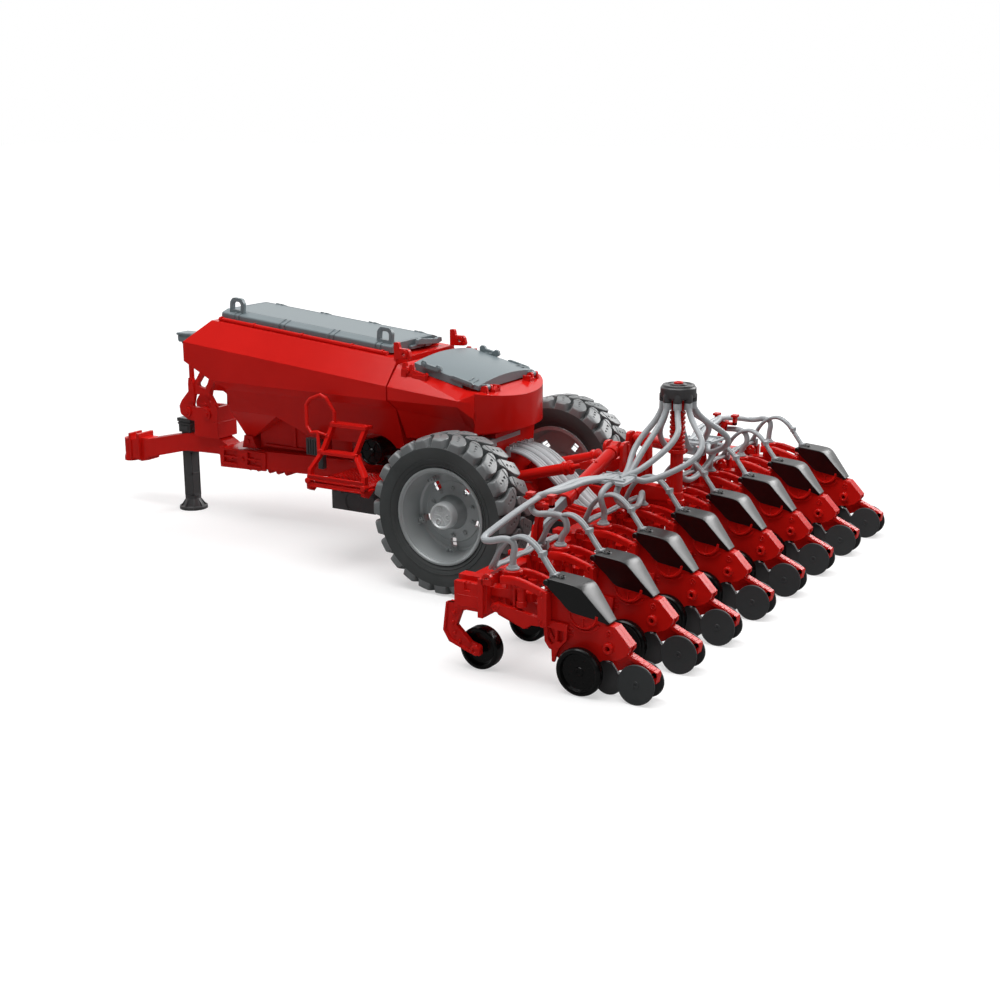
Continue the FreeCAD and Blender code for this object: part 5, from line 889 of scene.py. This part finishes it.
gussets.block(-105.4, -91.6, 24.6, 26.0, 57, 83)
gussets.block(BAR_BACK, -105.8, 14.6, 16.6, 82, 106).block(BAR_BACK, -105.8, 20, 22, 60, 84).both()
fit("toolbar_gussets", gussets, RED, "toolbar", bevel=0.25)


# ---------------------------------------------------------------------------
# Lift and fold cylinders: fat red barrels with collars; the lift rams are
# red with forked ends, and the fold rams are flat grey bars.
# ---------------------------------------------------------------------------
RAM_GREY = moulded("ram_grey", screen(150, 158, 162), 0.3, mottle=0.03, grain=1700.0, depth=0.015,
                   shine=0.4)
dress(RED, "lift_barrels", "lift_rods", "fold_barrel_left", "fold_barrel_right")
dress(RAM_GREY, "fold_rod_left", "fold_rod_right")
sleeves = Shape()                    # the thick part of each lift barrel, with its double collar
for side, s in (("left", 1), ("right", -1)):
    start, end = Vector((-98, s * 19.0, 103.0)), Vector((-98, s * 126.0, 72.0))
    along = (end - start).normalized()
    caps = Shape()
    for reach, length, radius in ((7.0, 2.4, 5.2), (66.0, 1.6, 5.0)):
        caps.turn([(4.4, 0), (radius, 0), (radius + 0.3, 0.4), (radius + 0.3, length - 0.4),
                   (radius, length), (4.4, length)], start + along * reach, along, 36, closed=True)
    up = Vector((1, 0, 0)).cross(along) * s
    caps.pin(1.1, 0, 1.5, start + along * 30 + up * 4.0, up, 16, crown=(0.4, 0.3))        # oil port
    fit("fold_collars_" + side, caps, RED, "fold_barrel_%s_body" % side)
    foot, top = Vector((-14.0, s * 22.0, 72.0)), Vector((-82.0, s * 22.0, 90.6))
    sleeves.turn([(2.8, 4), (3.9, 4.2), (4.1, 5), (4.1, 45.6), (5.2, 46.0), (5.4, 46.6),
                  (5.2, 47.6), (4.0, 48.0), (4.0, 49.8), (5.2, 50.2), (5.4, 50.8), (5.2, 51.8),
                  (2.8, 52.2)], foot, top - foot, 40, closed=True)
fit("lift_sleeves", sleeves, RED, "lift_barrel_body")


# ---------------------------------------------------------------------------
# Distributor: a corrugated red riser tube that carries the eight-way head,
# a low drum with a stepped ring, a socket over each hose and a red button.
# ---------------------------------------------------------------------------
dress(RED, "distributor_mast")
MAST_X = -136.5
MAST_AT = (MAST_X, 0.0, 0.0)
OUTLETS, OUTLET_RING = 8, 10.2
elbow = Shape().turn([(0, 63.4), (6.4, 63.4), (6.4, 66.4), (5.6, 67.2), (5.2, 72), (4.4, 72.6),
                      (0, 72.6)], MAST_AT, UP, 32)
elbow.plate([(MAST_X, 64), (-130, 62), (-118, 62), (-108, 63), (-108, 73), (-120, 74), (-130, 80),
             (-133, 88), (MAST_X, 92)], -3.2, 3.2)
elbow.turn([(4.4, 100.4), (6.0, 100.4), (6.3, 100.8), (6.3, 103), (6.0, 103.4), (4.4, 103.4)],
           MAST_AT, UP, 32, closed=True)
fit("mast_collars", elbow, RED, "toolbar")
head = Shape().turn([(0, 139.4), (8.6, 139.4), (10.4, 139.8), (12.3, 140.8), (12.6, 141.6),
                     (12.6, 147.2), (12.2, 147.8), (11.6, 148.1), (11.4, 148.9), (11.0, 149.4),
                     (9.4, 149.5), (9.1, 148.9), (6.2, 148.7), (5.9, 149.6), (5.4, 150.0),
                     (0, 150.0)], MAST_AT, UP, 96)


def outlet(k):
    """Across the top of the mast: where outlet k of the head is, counted from the left front."""
    a = 2 * math.pi / OUTLETS * (k + 0.5)
    return (MAST_X + OUTLET_RING * math.cos(a), OUTLET_RING * math.sin(a))


for k in range(OUTLETS):
    head.turn([(0, 137.6), (2.7, 137.6), (3.0, 138.0), (3.0, 142.4), (2.4, 143.6), (0, 143.6)],
              (*outlet(k), 0), UP, 24)
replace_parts(fit("seed_distributor", head, BLACK, "toolbar"), "distributor_head")
knob = Shape().turn([(0, 149.6), (3.4, 149.6), (3.4, 150.6), (3.0, 151.2), (1.6, 151.3),
                     (1.4, 150.8), (0, 150.8)], MAST_AT, UP, 36)
fit("distributor_button", knob, RED, "toolbar")


# ---------------------------------------------------------------------------
# Hose bundle: pale moulded hydraulic and air lines side by side, tied by a
# band behind the hopper, sagging from the chassis to the front of the bar.
# ---------------------------------------------------------------------------
def laid(points):
    """Points along the smooth line that a route's corners pull, in millimetres."""
    curve = bpy.data.curves.new("route", "CURVE")
    curve.dimensions, curve.resolution_u = "3D", 10
    spline = curve.splines.new("NURBS")
    spline.points.add(len(points) - 1)
    for slot, p in zip(spline.points, points):
        slot.co = (p[0], p[1], p[2], 1)
    spline.order_u, spline.use_endpoint_u = 3, True
    holder = bpy.data.objects.new("route", curve)
    line = bpy.data.meshes.new_from_object(holder)
    run = [v.co.copy() for v in line.vertices]
    bpy.data.objects.remove(holder)
    bpy.data.curves.remove(curve)
    bpy.data.meshes.remove(line)
    return run


bundle = Shape()
for y, radius in ((-14.2, 1.5), (-11.0, 1.5), (-7.6, 1.6), (-2.6, 3.2), (3.6, 3.0), (8.2, 1.5),
                  (11.4, 1.5), (14.4, 1.5)):  # across and radius of each line
    bundle.tube(laid([(1, y, 90.5), (-8, y, 91.4), (-27, y * 1.06, 87.5), (-48, y * 1.08, 70),
                      (-66, y * 1.04, 53), (-78, y, 49.5), (-89.9, y, 49)]), radius, 16)
band = Shape().block(-9.6, -7.4, -17, 17, 89.4, 93.2)
for y in (-9.3, -5.2, 0.6, 6.2, 9.8, 13.0):
    band.block(-10.2, -6.8, y - 0.5, y + 0.5, 91, 94.4)
bundle.add(band.block(-10, -7, -17.6, -16.2, 86, 93.6).block(-10, -7, 16.2, 17.6, 86, 93.6))
bundle_piece = fit("line_bundle", bundle, HOSE, sharp=40)
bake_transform(bundle_piece)
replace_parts(bundle_piece, "hose_bundle")



# ---------------------------------------------------------------------------
# Row units, eight alike: a red body of two side plates with a round seed
# meter between them, hung on the bar by arched parallel arms.  Each is one
# glossy moulding clipped to the bar's rear face.
# ---------------------------------------------------------------------------
ROW_PITCH = 59.0
ROWS = [SUPPORT_YS[1] - ROW_PITCH * k for k in range(8)]
ROW_GROUPS = (("left", 2, ROWS[0], "wing_left"), ("centre", 4, ROWS[2], "toolbar"),
              ("right", 2, ROWS[6], "wing_right"))
GAUGE_X, GAUGE_Z = -176.2, 15.0      # pin of the gauge wheels
CLOSE_X, CLOSE_Z = -211.3, 12.0      # pin of the closing discs
METER_AT = (-176, 0, 50)
FLANGE_X = -124.5                    # where the seed hose drops into the row


def on_rows(name, shape, material, bevel=0.0, node=None, sharp=32.0):
    """One piece for each section of the bar, with the form drawn at Y 0 on every row."""
    mesh = shape.data(name, sharp)
    for group, count, first, body in ROW_GROUPS:
        made = repeated(mesh.copy(), material, count, step=(0, -ROW_PITCH, 0), pivot=(0, 0, 0),
                        start=(0, first, 0), bevel=bevel)
        made.name = name + "_" + group
        piece = fit(name + "_" + group, made, material, body)
        if node:
            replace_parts(piece, node + "_" + group)


def arc_band(x, z, inner, outer, a0, a1, steps=14):
    """Outline of part of a ring, angles in degrees from +X towards +Z."""
    turn = [math.radians(a0 + (a1 - a0) * i / steps) for i in range(steps + 1)]
    return ([(x + outer * math.cos(a), z + outer * math.sin(a)) for a in turn] +
            [(x + inner * math.cos(a), z + inner * math.sin(a)) for a in reversed(turn)])


PLATE_OUT = 4.5                      # outer face of a side plate
frame_row = Shape()
plate = Shape().plate([(-149, 62), (-149, 37), (-152.5, 27), (-155.5, 21), (-158.5, 18.4),
                       (-160.6, 19), (-163, 22.6), (-166.5, 24.2), (-168.6, 22.4), (-170, 16),
                       (-171.6, 12.6), (-174, 11.2), (-178, 11), (-181.4, 12.4), (-184, 17),
                       (-186, 20.6), (-189, 22.6), (-196, 23.4), (-200.4, 25.2), (-203.6, 27.6),
                       (-205.8, 30.8), (-205.9, 33.4), (-196.4, 43), (-190.6, 44), (-186.8, 49.6),
                       (-183, 52.6), (-168, 58)], 1.9, PLATE_OUT)
plate.minus(Shape().pin(1.7, -1, 9, (GAUGE_X, 0, GAUGE_Z)).pin(1.4, -1, 9, (-192.3, 0, 30.5))
            .plate([(-181, 41.4), (-181, 45.4), (-179.2, 45.8), (-179.2, 41.8)], -1, 9))
frame_row.add(plate)
frame_row.plate([(-185, 51), (-190, 44.6), (-196, 43.8), (-206.2, 33.2), (-203.6, 31),
                 (-194.6, 40.8), (-188.8, 41.2), (-183, 48.8)], 0, PLATE_OUT - 0.3)
frame_row.plate([(-148, 58), (-150, 36), (-156, 26), (-158, 27.5), (-152.5, 37), (-150.4, 58)],
                PLATE_OUT - 0.5, PLATE_OUT + 1.2)
frame_row.plate(arc_band(-176, 50, 11.0, 12.4, 214, 318, 18), PLATE_OUT - 0.5, PLATE_OUT + 1.0)
for z in (38.6, 36.6, 34.6):         # three short ribs under the meter
    frame_row.block(-168.6, -164.6, PLATE_OUT - 0.3, PLATE_OUT + 0.5, z - 0.35, z + 0.35)
frame_row.turn([(1.4, PLATE_OUT - 1), (3.4, PLATE_OUT - 1), (3.4, PLATE_OUT + 1.8),
                (2.9, PLATE_OUT + 2.3), (1.9, PLATE_OUT + 2.3), (1.4, PLATE_OUT + 1.9)],
               (-192.3, 0, 30.5), steps=36, closed=True)
frame_row.turn([(0, PLATE_OUT - 1), (2.1, PLATE_OUT - 1), (2.1, PLATE_OUT + 0.5),
                (1.5, PLATE_OUT + 0.6), (1.3, PLATE_OUT + 0.1), (0.8, PLATE_OUT + 0.1),
                (0.6, PLATE_OUT + 0.6), (0, PLATE_OUT + 0.7)], (-192.4, 0, 39.4), steps=28)
# front bracket with its windows and pointed foot, outside the plate
bracket = Shape().plate([(-149.6, 42), (-150.6, 28.5), (-153.6, 24.4), (-155.2, 24), (-155.6, 16.6),
                         (-157.2, 16.2), (-158.4, 20.6), (-160.6, 25.8), (-165.4, 31.2),
                         (-166, 41)], 5.2, 7.2)
windows = Shape()
windows.plate([(-152.4, 37.6), (-152.8, 29.4), (-155, 27.2), (-157.4, 28.6), (-157.6, 37)], 4, 9)
windows.plate([(-159.4, 36.6), (-159.2, 29.6), (-161.4, 28.8), (-163.4, 31.6), (-163.6, 36.6)], 4,
              9)
bracket.minus(windows)
frame_row.add(bracket)
frame_row.block(-165.6, -150, 3.8, 6.9, 38.4, 40.7)
# arched upper arm, lower arm with its hanging wedge, and their pin bosses
upper = ((-121.5, 62.8, 2.6), (-128, 63.6, 2.4), (-134, 63.3, 2.3), (-140, 62.0, 2.2),
         (-146, 60.2, 2.2), (-151.5, 58.4, 2.3))      # along, up and half height
frame_row.loft([[(x, 7.0, z - h), (x, 10.6, z - h), (x, 10.6, z + h * 0.6), (x, 10.0, z + h),
                 (x, 7.6, z + h), (x, 7.0, z + h * 0.6)] for x, z, h in upper])
frame_row.plate([(-114.6, 45.2), (-116.4, 47.4), (-121, 47.4), (-134.4, 45.6), (-149.5, 43.0),
                 (-153, 41.4), (-153, 38.6), (-149, 38.2), (-143, 37.9), (-138.4, 35.0),
                 (-134, 36.2), (-126, 40.4), (-121.6, 41.8), (-117, 42.2)], 7.2, 10.4)
for x, z in ((-151.4, 58.3), (-151.0, 40.6), (-118.2, 45.0)):
    frame_row.turn([(0, 6.6), (2.7, 6.6), (2.7, 10.9), (2.2, 11.3), (1.5, 11.3), (1.3, 10.9),
                    (0, 10.9)], (x, 0, z), steps=28)
# rear post: a channel that carries both arms
frame_row.block(-154.2, -151.4, 5.6, 11.4, 39.2, 59.6)
frame_row.block(-151.6, -146.6, 5.6, 7.4, 38.6, 60.4)
frame_row.block(-152.6, -147.8, 9.4, 11.2, 42.6, 56.6)
# bracing and spring cylinder under the hose flange
frame_row.turn([(0, 47), (2.8, 47), (3.2, 47.6), (3.2, 50.6), (2.7, 51), (2.7, 58), (3.2, 58.4),
                (3.2, 61), (0, 61)], (-134.6, 7.0, 0), UP, 28)
frame_row.block(-130.4, -128.8, 3.6, 7.8, 45, 62)
frame_row.both()
frame_row.block(-110.7, -107.1, -13, 13, 37.4, 62)
frame_row.block(-112.6, -110.5, -11, -6.4, 40, 62.4).block(-112.6, -110.5, 6.4, 11, 40, 62.4)
frame_row.block(-110.2, -88, -4, 4, 57.1, 60).block(-110.2, -88, -4, 4, 38, 40.9)
frame_row.block(-151.5, -146.5, -9, 9, 44, 47.5).block(-151.5, -146.5, -9, 9, 54, 57)
frame_row.block(-140, -110, -4.4, 4.4, 50, 55.4)
# hoop beside the flange
frame_row.plate(arc_band(-113.5, 62.2, 1.5, 3.6, -8, 188, 14), 10.2, 12.8)
frame_row.block(-117.1, -110, 9.6, 13, 58.8, 62.4)
# meter drum between the plates, with a ring, boss and spokes on each face
for s in (1, -1):
    drum = Shape().turn([(0, 0), (10, 0), (10, 6.6), (9.5, 7.4), (8.6, 7.4), (8.2, 6.4), (3.6, 6.2),
                         (3.4, 7.0), (2.9, 7.4), (1.3, 7.4), (1.3, 6.4), (0, 6.4)], METER_AT,
                        (0, s, 0), 48)
    hidden = [(-200, 49.5), (-183.5, 49.5), (-180, 55), (-172, 58.5), (-160, 60), (-160, 80),
              (-200, 80)]
    frame_row.add(drum.minus(Shape().plate(hidden, -12, 12)))
    frame_row.block(-176.6, -175.4, s * 6.0, s * 7.1, 41, 47)
    frame_row.block(-173, -167, s * 6.0, s * 7.1, 49.4, 50.6)
# flange for the seed hose
frame_row.turn([(0, 46), (4.4, 46), (4.4, 63.6), (5.6, 64.2), (6.2, 64.8), (6.2, 67.0), (5.7, 67.5),
                (0, 67.5)], (FLANGE_X, 0, 0), UP, 40)
# tail arm to the closing wheels: raised edge, steps along its top
frame_row.plate([(-190, 34), (-204, 28), (-222, 20.2), (-223, 18.4), (-222.4, 14.2), (-220.8, 12.8),
                 (-214, 9), (-208, 9.2), (-204.6, 16), (-202.4, 18.6), (-197, 16.4), (-192.5, 22.5),
                 (-190, 24)], -1.4, 1.4)
frame_row.plate([(-200, 30.2), (-204.2, 28.4), (-222.8, 20.2), (-223.2, 18.6), (-222.2, 13.4),
                 (-220.2, 13.4), (-221.0, 18.0), (-204, 26.0), (-200, 27.6)], -2.9, 2.9)
PADS, PAD_PITCH, TAIL_FALL = 4, 4.2, 0.44
for i in range(PADS):                # shallow pads along its top
    x, z = -206.5 - PAD_PITCH * i, 27.35 - TAIL_FALL * PAD_PITCH * i
    frame_row.plate([(x - 1.5, z - 1.9), (x - 1.5, z - 0.42), (x + 1.5, z + 0.9),
                     (x + 1.5, z - 1.9)], -2.1, 2.1)
frame_row.pin(2.8, -2.9, 2.9, (CLOSE_X, 0, CLOSE_Z), steps=24)
frame_row.pin(1.7, -2.9, 2.9, (-221.2, 0, 18.6))
frame_row.plate([(-189.5, 36), (-197, 34), (-197, 26), (-189.5, 26)], -2.4, 2.4)
frame_row.plate([(-153, 43), (-166, 41), (-166, 33), (-153, 33)], -4, 4)
on_rows("row_frame", frame_row, RED, node="row_frames")


# ---------------------------------------------------------------------------
# Meter hoods: a black satin cover clipped over each seed meter.  It is
# widest at the knee and draws in to the blunt tip behind the meter.
# ---------------------------------------------------------------------------
HOOD = moulded("hood_plastic", screen(6, 6, 7), 0.3, grain=2600.0, depth=0.03, edge=0.4, shine=0.6,
               slot="black_plastic")
SOFT_CORNER, HOOD_WALL = 0.5, 1.1
hood = Shape()
spine = [(-151.4, 66.0, 8.9), (-152.4, 67.6, 9.0), (-153.6, 68.4, 9.0), (-160, 67.9, 9.1),
         (-167, 67.3, 9.2), (-171.5, 66.8, 9.25), (-174.2, 66.1, 9.3), (-176.2, 64.9, 9.2),
         (-177.8, 63.3, 9.0), (-181, 59.5, 8.2), (-185, 54.8, 7.1), (-189, 50.1, 6.0),
         (-192.6, 45.9, 4.9)]
under = [(-151.8, 64.6), (-153.0, 63.6), (-154.4, 62.4), (-159.0, 58.6), (-162.4, 56.0),
         (-165.0, 53.4), (-167.2, 51.6), (-169.6, 50.2), (-173.0, 49.6), (-177.5, 48.8),
         (-182.0, 47.8), (-186.6, 46.6), (-191.2, 45.0)]
shell, r, soft = [], SOFT_CORNER, SOFT_CORNER * 0.35
for (x, z, w), (ux, uz) in zip(spine, under):
    half = [(ux, w, uz), (x, w, z - r), (x, w - soft, z - soft), (x, w - r, z)]
    shell.append(half + [(hx, -hy, hz) for hx, hy, hz in half[::-1]])
for a, b in zip(shell, shell[1:]):
    for i in range(7):
        hood.mesh.faces.new([hood.mesh.verts.new(p) for p in (a[i], a[i + 1], b[i + 1], b[i])])
hood.mesh.faces.new([hood.mesh.verts.new(p) for p in shell[-1]])
hood.mesh.faces.new([hood.mesh.verts.new(p) for p in shell[0][::-1]])
hood.tidy()
bmesh.ops.solidify(hood.mesh, geom=hood.mesh.faces[:], thickness=HOOD_WALL)
KNOB_AT = (-158.0, 1.0, 0)
hood.turn([(2.2, 67.0), (3.2, 67.0), (3.2, 68.3), (2.9, 68.7), (2.4, 68.7), (2.2, 68.4)], KNOB_AT,
          UP, 28, closed=True)
hood.pin(1.3, 67.0, 68.9, KNOB_AT, UP, crown=(0.4, 0.3))
for s in (1, -1):                    # hinge pin ends at the front corners
    hood.pin(1.9, 7.6, 10.0, (-152.6, 0, 65.8), (0, s, 0), 20, crown=(0.4, 0.4))
on_rows("meter_hood", hood, HOOD, node="row_hoods", sharp=26.0)


# ---------------------------------------------------------------------------
# Furrow openers, gauge wheels and closing wheels of every row: gloss-black
# discs pressed on pins.  The gauge wheels have a fat round tyre round a
# recessed web; the closing wheels are thin flat discs that lean together at
# the top.
# ---------------------------------------------------------------------------
DISC_BLACK = moulded("disc_black", screen(56, 58, 59), 0.45, grain=2400.0, depth=0.02, edge=0.0,
                     shine=0.3, slot="wheel_black")
GAUGE_Y, CLOSE_Y = 10.6, 6.4         # from the row's middle to each disc
WEB_PIPS, PIP_RING = 8, 7.4
LEAN = 8                             # of a closing disc, in degrees
dress(BLACK, "furrow_openers_centre", "furrow_openers_left", "furrow_openers_right")
gauge = Shape()
for s in (1, -1):
    gauge.turn([(0, -1.9), (3.4, -1.9), (4, -0.9), (10.4, -0.9), (11.6, -2.4), (12.8, -3.0),
                (13.9, -2.8), (14.7, -2.0), (15.0, -0.8), (15.0, 0.8), (14.7, 2.0), (13.9, 2.8),
                (12.8, 3.0), (11.9, 2.6), (11.3, 1.4), (11.0, 0.6), (10.6, 0.5), (3.0, 0.5),
                (2.6, 1.0), (1.3, 1.1), (1.1, 0.7), (0, 0.7)], (GAUGE_X, s * GAUGE_Y, GAUGE_Z),
               (0, s, 0), 72)
    for i in range(WEB_PIPS):        # left by the moulding
        a = math.radians(360 / WEB_PIPS * i + 20)
        gauge.turn([(0, 0.3), (0.42, 0.3), (0.3, 0.75), (0, 0.8)],
                   (GAUGE_X + PIP_RING * math.cos(a), s * GAUGE_Y,
                    GAUGE_Z + PIP_RING * math.sin(a)), (0, s, 0), 8)
gauge.turn([(1.5, 0), (1.5, 2 * GAUGE_Y)], (GAUGE_X, -GAUGE_Y, GAUGE_Z), steps=16)
closing = Shape()
for s in (1, -1):
    flat = Shape().turn([(0, -0.8), (11.6, -0.8), (12, -0.45), (12, 0.45), (11.6, 0.8), (2.2, 0.8),
                         (2.0, 1.0), (0.9, 1.0), (0.8, 0.7), (0, 0.7)], (0, 0, 0), (0, s, 0), 72)
    closing.add(flat.spin(s * LEAN, "X", (0, 0, 0)).shift(CLOSE_X, s * CLOSE_Y, CLOSE_Z))
closing.turn([(1.5, 0), (1.5, 2 * CLOSE_Y)], (CLOSE_X, -CLOSE_Y, CLOSE_Z), steps=16)
pairs = (("gauge_wheels_%d", gauge.data("gauge_wheels", 28), GLOSS_BLACK, "gauge_%d"),
         ("closing_discs_%d", closing.data("closing_discs", 28), DISC_BLACK, "closing_%d"))
for k, y in enumerate(ROWS, 1):
    for node, mesh, material, body in pairs:
        own = mesh.copy()
        own.transform(Matrix.Translation((0, y * MM, 0)))
        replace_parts(fit("round_" + node % k, own, material, body % k), node % k)
for n, (y, out) in enumerate(((ROWS[0], 1), (ROWS[1], 1), (ROWS[6], -1), (ROWS[7], -1)), 1):
    support = Shape().turn([(1.6, -2.4), (8.4, -2.4), (9.6, -4.0), (10.4, -4.4), (12.6, -4.4),
                            (13.4, -3.8), (13.6, -3.0), (13.6, 3.0), (13.4, 3.8), (12.6, 4.4),
                            (11.2, 4.4), (10.6, 4.0), (10.2, 2.2), (9.6, 1.8), (3.4, 1.8),
                            (3.2, 4.0), (2.8, 4.4), (1.6, 4.4)], (SUPPORT_X, y, SUPPORT_Z),
                           (0, out, 0), 72, closed=True)
    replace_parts(fit("round_support_wheel_%d" % n, support, GLOSS_BLACK, "support_%d" % n, sharp=28),
                "support_wheel_%d" % n)


# ---------------------------------------------------------------------------
# Seed hoses: soft light-grey plastic tubes, pushed on the head's outlets,
# held by the flat moulded union and the fork on each wing, and plugged with
# a collar in the flange of every row.
# ---------------------------------------------------------------------------
HOSE_R, PLUG_Z, WEB_LOW, WEB_TOP = 2.1, 67.6, 93.9, 95.7
# from head to flange, for the left rows from the outermost in; the right rows mirror them
ROUTES = [
    [(-111.5, 18.4, 106.2), (-117.6, 41.3, 88.0), (-116.5, 64, 95), (-116.5, 73, 95),
     (-109.2, 96, 97.5), (-108.4, 118, 97.0), (-107.2, 138, 97.4), (-105.4, 170, 92.4),
     (-104.0, 196, 87.0), (-103.6, 208.6, 84.0), (-110.4, 210.6, 83.8), (-119.4, 208.6, 86.8),
     (-126.4, 206.6, 84.6), (-124.5, 206.5, 74), (-124.5, 206.5, 67.6)],
    [(-125.2, 36.5, 104.5), (-123.4, 52.0, 89.4), (-121.7, 64, 95), (-121.7, 73, 95),
     (-114.6, 96, 97.5), (-113.6, 118, 97.0), (-110.4, 137, 97.6), (-106.6, 144.4, 97.6),
     (-103.8, 150.6, 91.8), (-108.4, 151.8, 86.8), (-117.0, 149.6, 88.2), (-127.4, 148.2, 87.6),
     (-130.2, 147.5, 79.4), (-124.7, 147.5, 73), (-124.5, 147.5, 67.6)],
    [(-150.8, 27.5, 117.6), (-134.5, 50.0, 98.5), (-126.9, 64, 95), (-125.2, 76, 94.8),
     (-123.6, 91.6, 89.6), (-124.4, 91.0, 82.0), (-124.6, 86.0, 75.0), (-124.5, 88.5, 67.6)],
    [(-172.0, 23.3, 108.7), (-139.0, 48.3, 89.0), (-132.1, 64, 95), (-131.2, 76, 95.0),
     (-130.4, 84, 87.0), (-130.0, 74, 78.4), (-128.6, 47.0, 69.4), (-125.6, 34.5, 72.4),
     (-124.6, 29.5, 79.0), (-124.5, 29.5, 67.6)]]
hose_sets = {"left": Shape(), "right": Shape(), "centre": Shape()}
for k, route in enumerate(ROUTES):
    x, y = outlet(k)
    row_y = route[-1][1]
    for s, side in ((1, "left"), (-1, "right")):
        line = laid([(p[0], p[1] * s, p[2]) for p in [(x, y, 138), (x, y, 129)] + route])
        group = hose_sets[side if k < 2 else "centre"]
        group.tube(line, HOSE_R, 14)
        group.turn([(2.2, 0), (2.9, 0), (2.9, 4.6), (2.5, 5.2), (2.2, 5.2)], (x, y * s, 132.6), UP,
                   20, closed=True)
        group.turn([(2.2, 0), (4.2, 0), (4.3, 0.5), (4.0, 1.1), (3.2, 1.2), (2.7, 2.6), (2.2, 2.8)],
                   (FLANGE_X, row_y * s, PLUG_Z), UP, 28, closed=True)
union = hose_sets["centre"]
for s in (1, -1):                    # flat web of the union, with its moulding pips
    union.plate([(-110.6, s * 76.4), (-111.4, s * 64), (-114.6, s * 60.6), (-119.4, s * 55.4),
                 (-131.6, s * 54.4), (-134.8, s * 62), (-136.6, s * 71), (-137.4, s * 84.6),
                 (-131.2, s * 84.6), (-127.2, s * 79.2), (-123.2, s * 83.6), (-118.6, s * 84.6),
                 (-115.8, s * 79.4)], WEB_LOW, WEB_TOP, across="z")
    for x, y in ((-114.6, 69.6), (-121.6, 60.5), (-130.2, 59.6), (-127.6, 70.5), (-120.4, 74.5),
                 (-134.0, 77.0)):
        union.pin(0.8, WEB_TOP - 0.3, WEB_TOP + 2.0, (x, s * y, 0), UP, 12, crown=(0.3, 0.3))
    for y in (62.0, 80.0):           # ribs across the four channels
        union.block(-135.6, -112.8, s * y - 0.6, s * y + 0.6, 94.2, 96.9)
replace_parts(fit("seed_hoses_centre", union, HOSE, "toolbar", sharp=40), "hoses_centre")
for side, s in (("left", 1), ("right", -1)):
    piece = fit("seed_hoses_" + side, hose_sets[side], HOSE, sharp=40)
    "wing_" + side
    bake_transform(piece)
    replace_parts(piece, "hoses_" + side)


# ---------------------------------------------------------------------------
# Sensor leads: two thin grey lines side by side that run along the bar from
# row to row, arch to each meter hood and are gathered there by a small tie.
# ---------------------------------------------------------------------------
LEAD = moulded("lead_grey", screen(158, 162, 165), 0.38, mottle=0.04, grain=1500.0, depth=0.01,
               edge=0.0, shine=0.4)
LEAD_R, LEAD_HALF_GAP, SAGS = 1.3, 1.35, 12
lead_row = Shape()
for dy in (-LEAD_HALF_GAP, LEAD_HALF_GAP):
    lead_row.tube(laid([(-109.4 + dy, -4.0, 66.0), (-110.2 + dy, 0.6, 66.4), (-112.0, dy, 71.0),
                        (-115.6, dy, 79.4), (-122.4, dy, 86.4), (-131.6, dy, 89.6),
                        (-140.0, dy, 85.4), (-145.8, dy * 0.8, 78.0), (-150.2, dy * 0.9, 72.0),
                        (-154.0, dy * 0.9, 67.2)]), LEAD_R, 10)
lead_row.block(-146.6, -143.8, -3.2, 3.2, 78.6, 81.6)                # tie
lead_row.block(-155.4, -151.4, -3.0, 3.0, 66.6, 69.4)                # plug in the hood
on_rows("sensor_leads", lead_row, LEAD, sharp=40)
for group, y0, y1, body in (("centre", -97.0, 88.0, "toolbar"), ("left", 123.0, 206.0, "wing_left"),
                            ("right", -211.0, -123.0, "wing_right")):
    runs = Shape()
    for x in (-110.8, -108.1):
        slack = [(x + (0.5 if i % 2 else -0.4), y0 + (y1 - y0) * i / SAGS, 65.4 + 0.5 * (i % 3))
                 for i in range(1, SAGS)]
        runs.tube(laid([(x, y0, 65.6)] + slack + [(x, y1, 65.6)]), LEAD_R, 10)
    for row in ROWS:                 # a clip beside each row
        if y0 < row + 4.5 < y1:
            runs.block(-112.4, -106.6, row - 7.4, row - 4.4, 61.8, 67.6)
    fit("sensor_run_" + group, runs, LEAD, body, slot="hose_plastic", sharp=40)
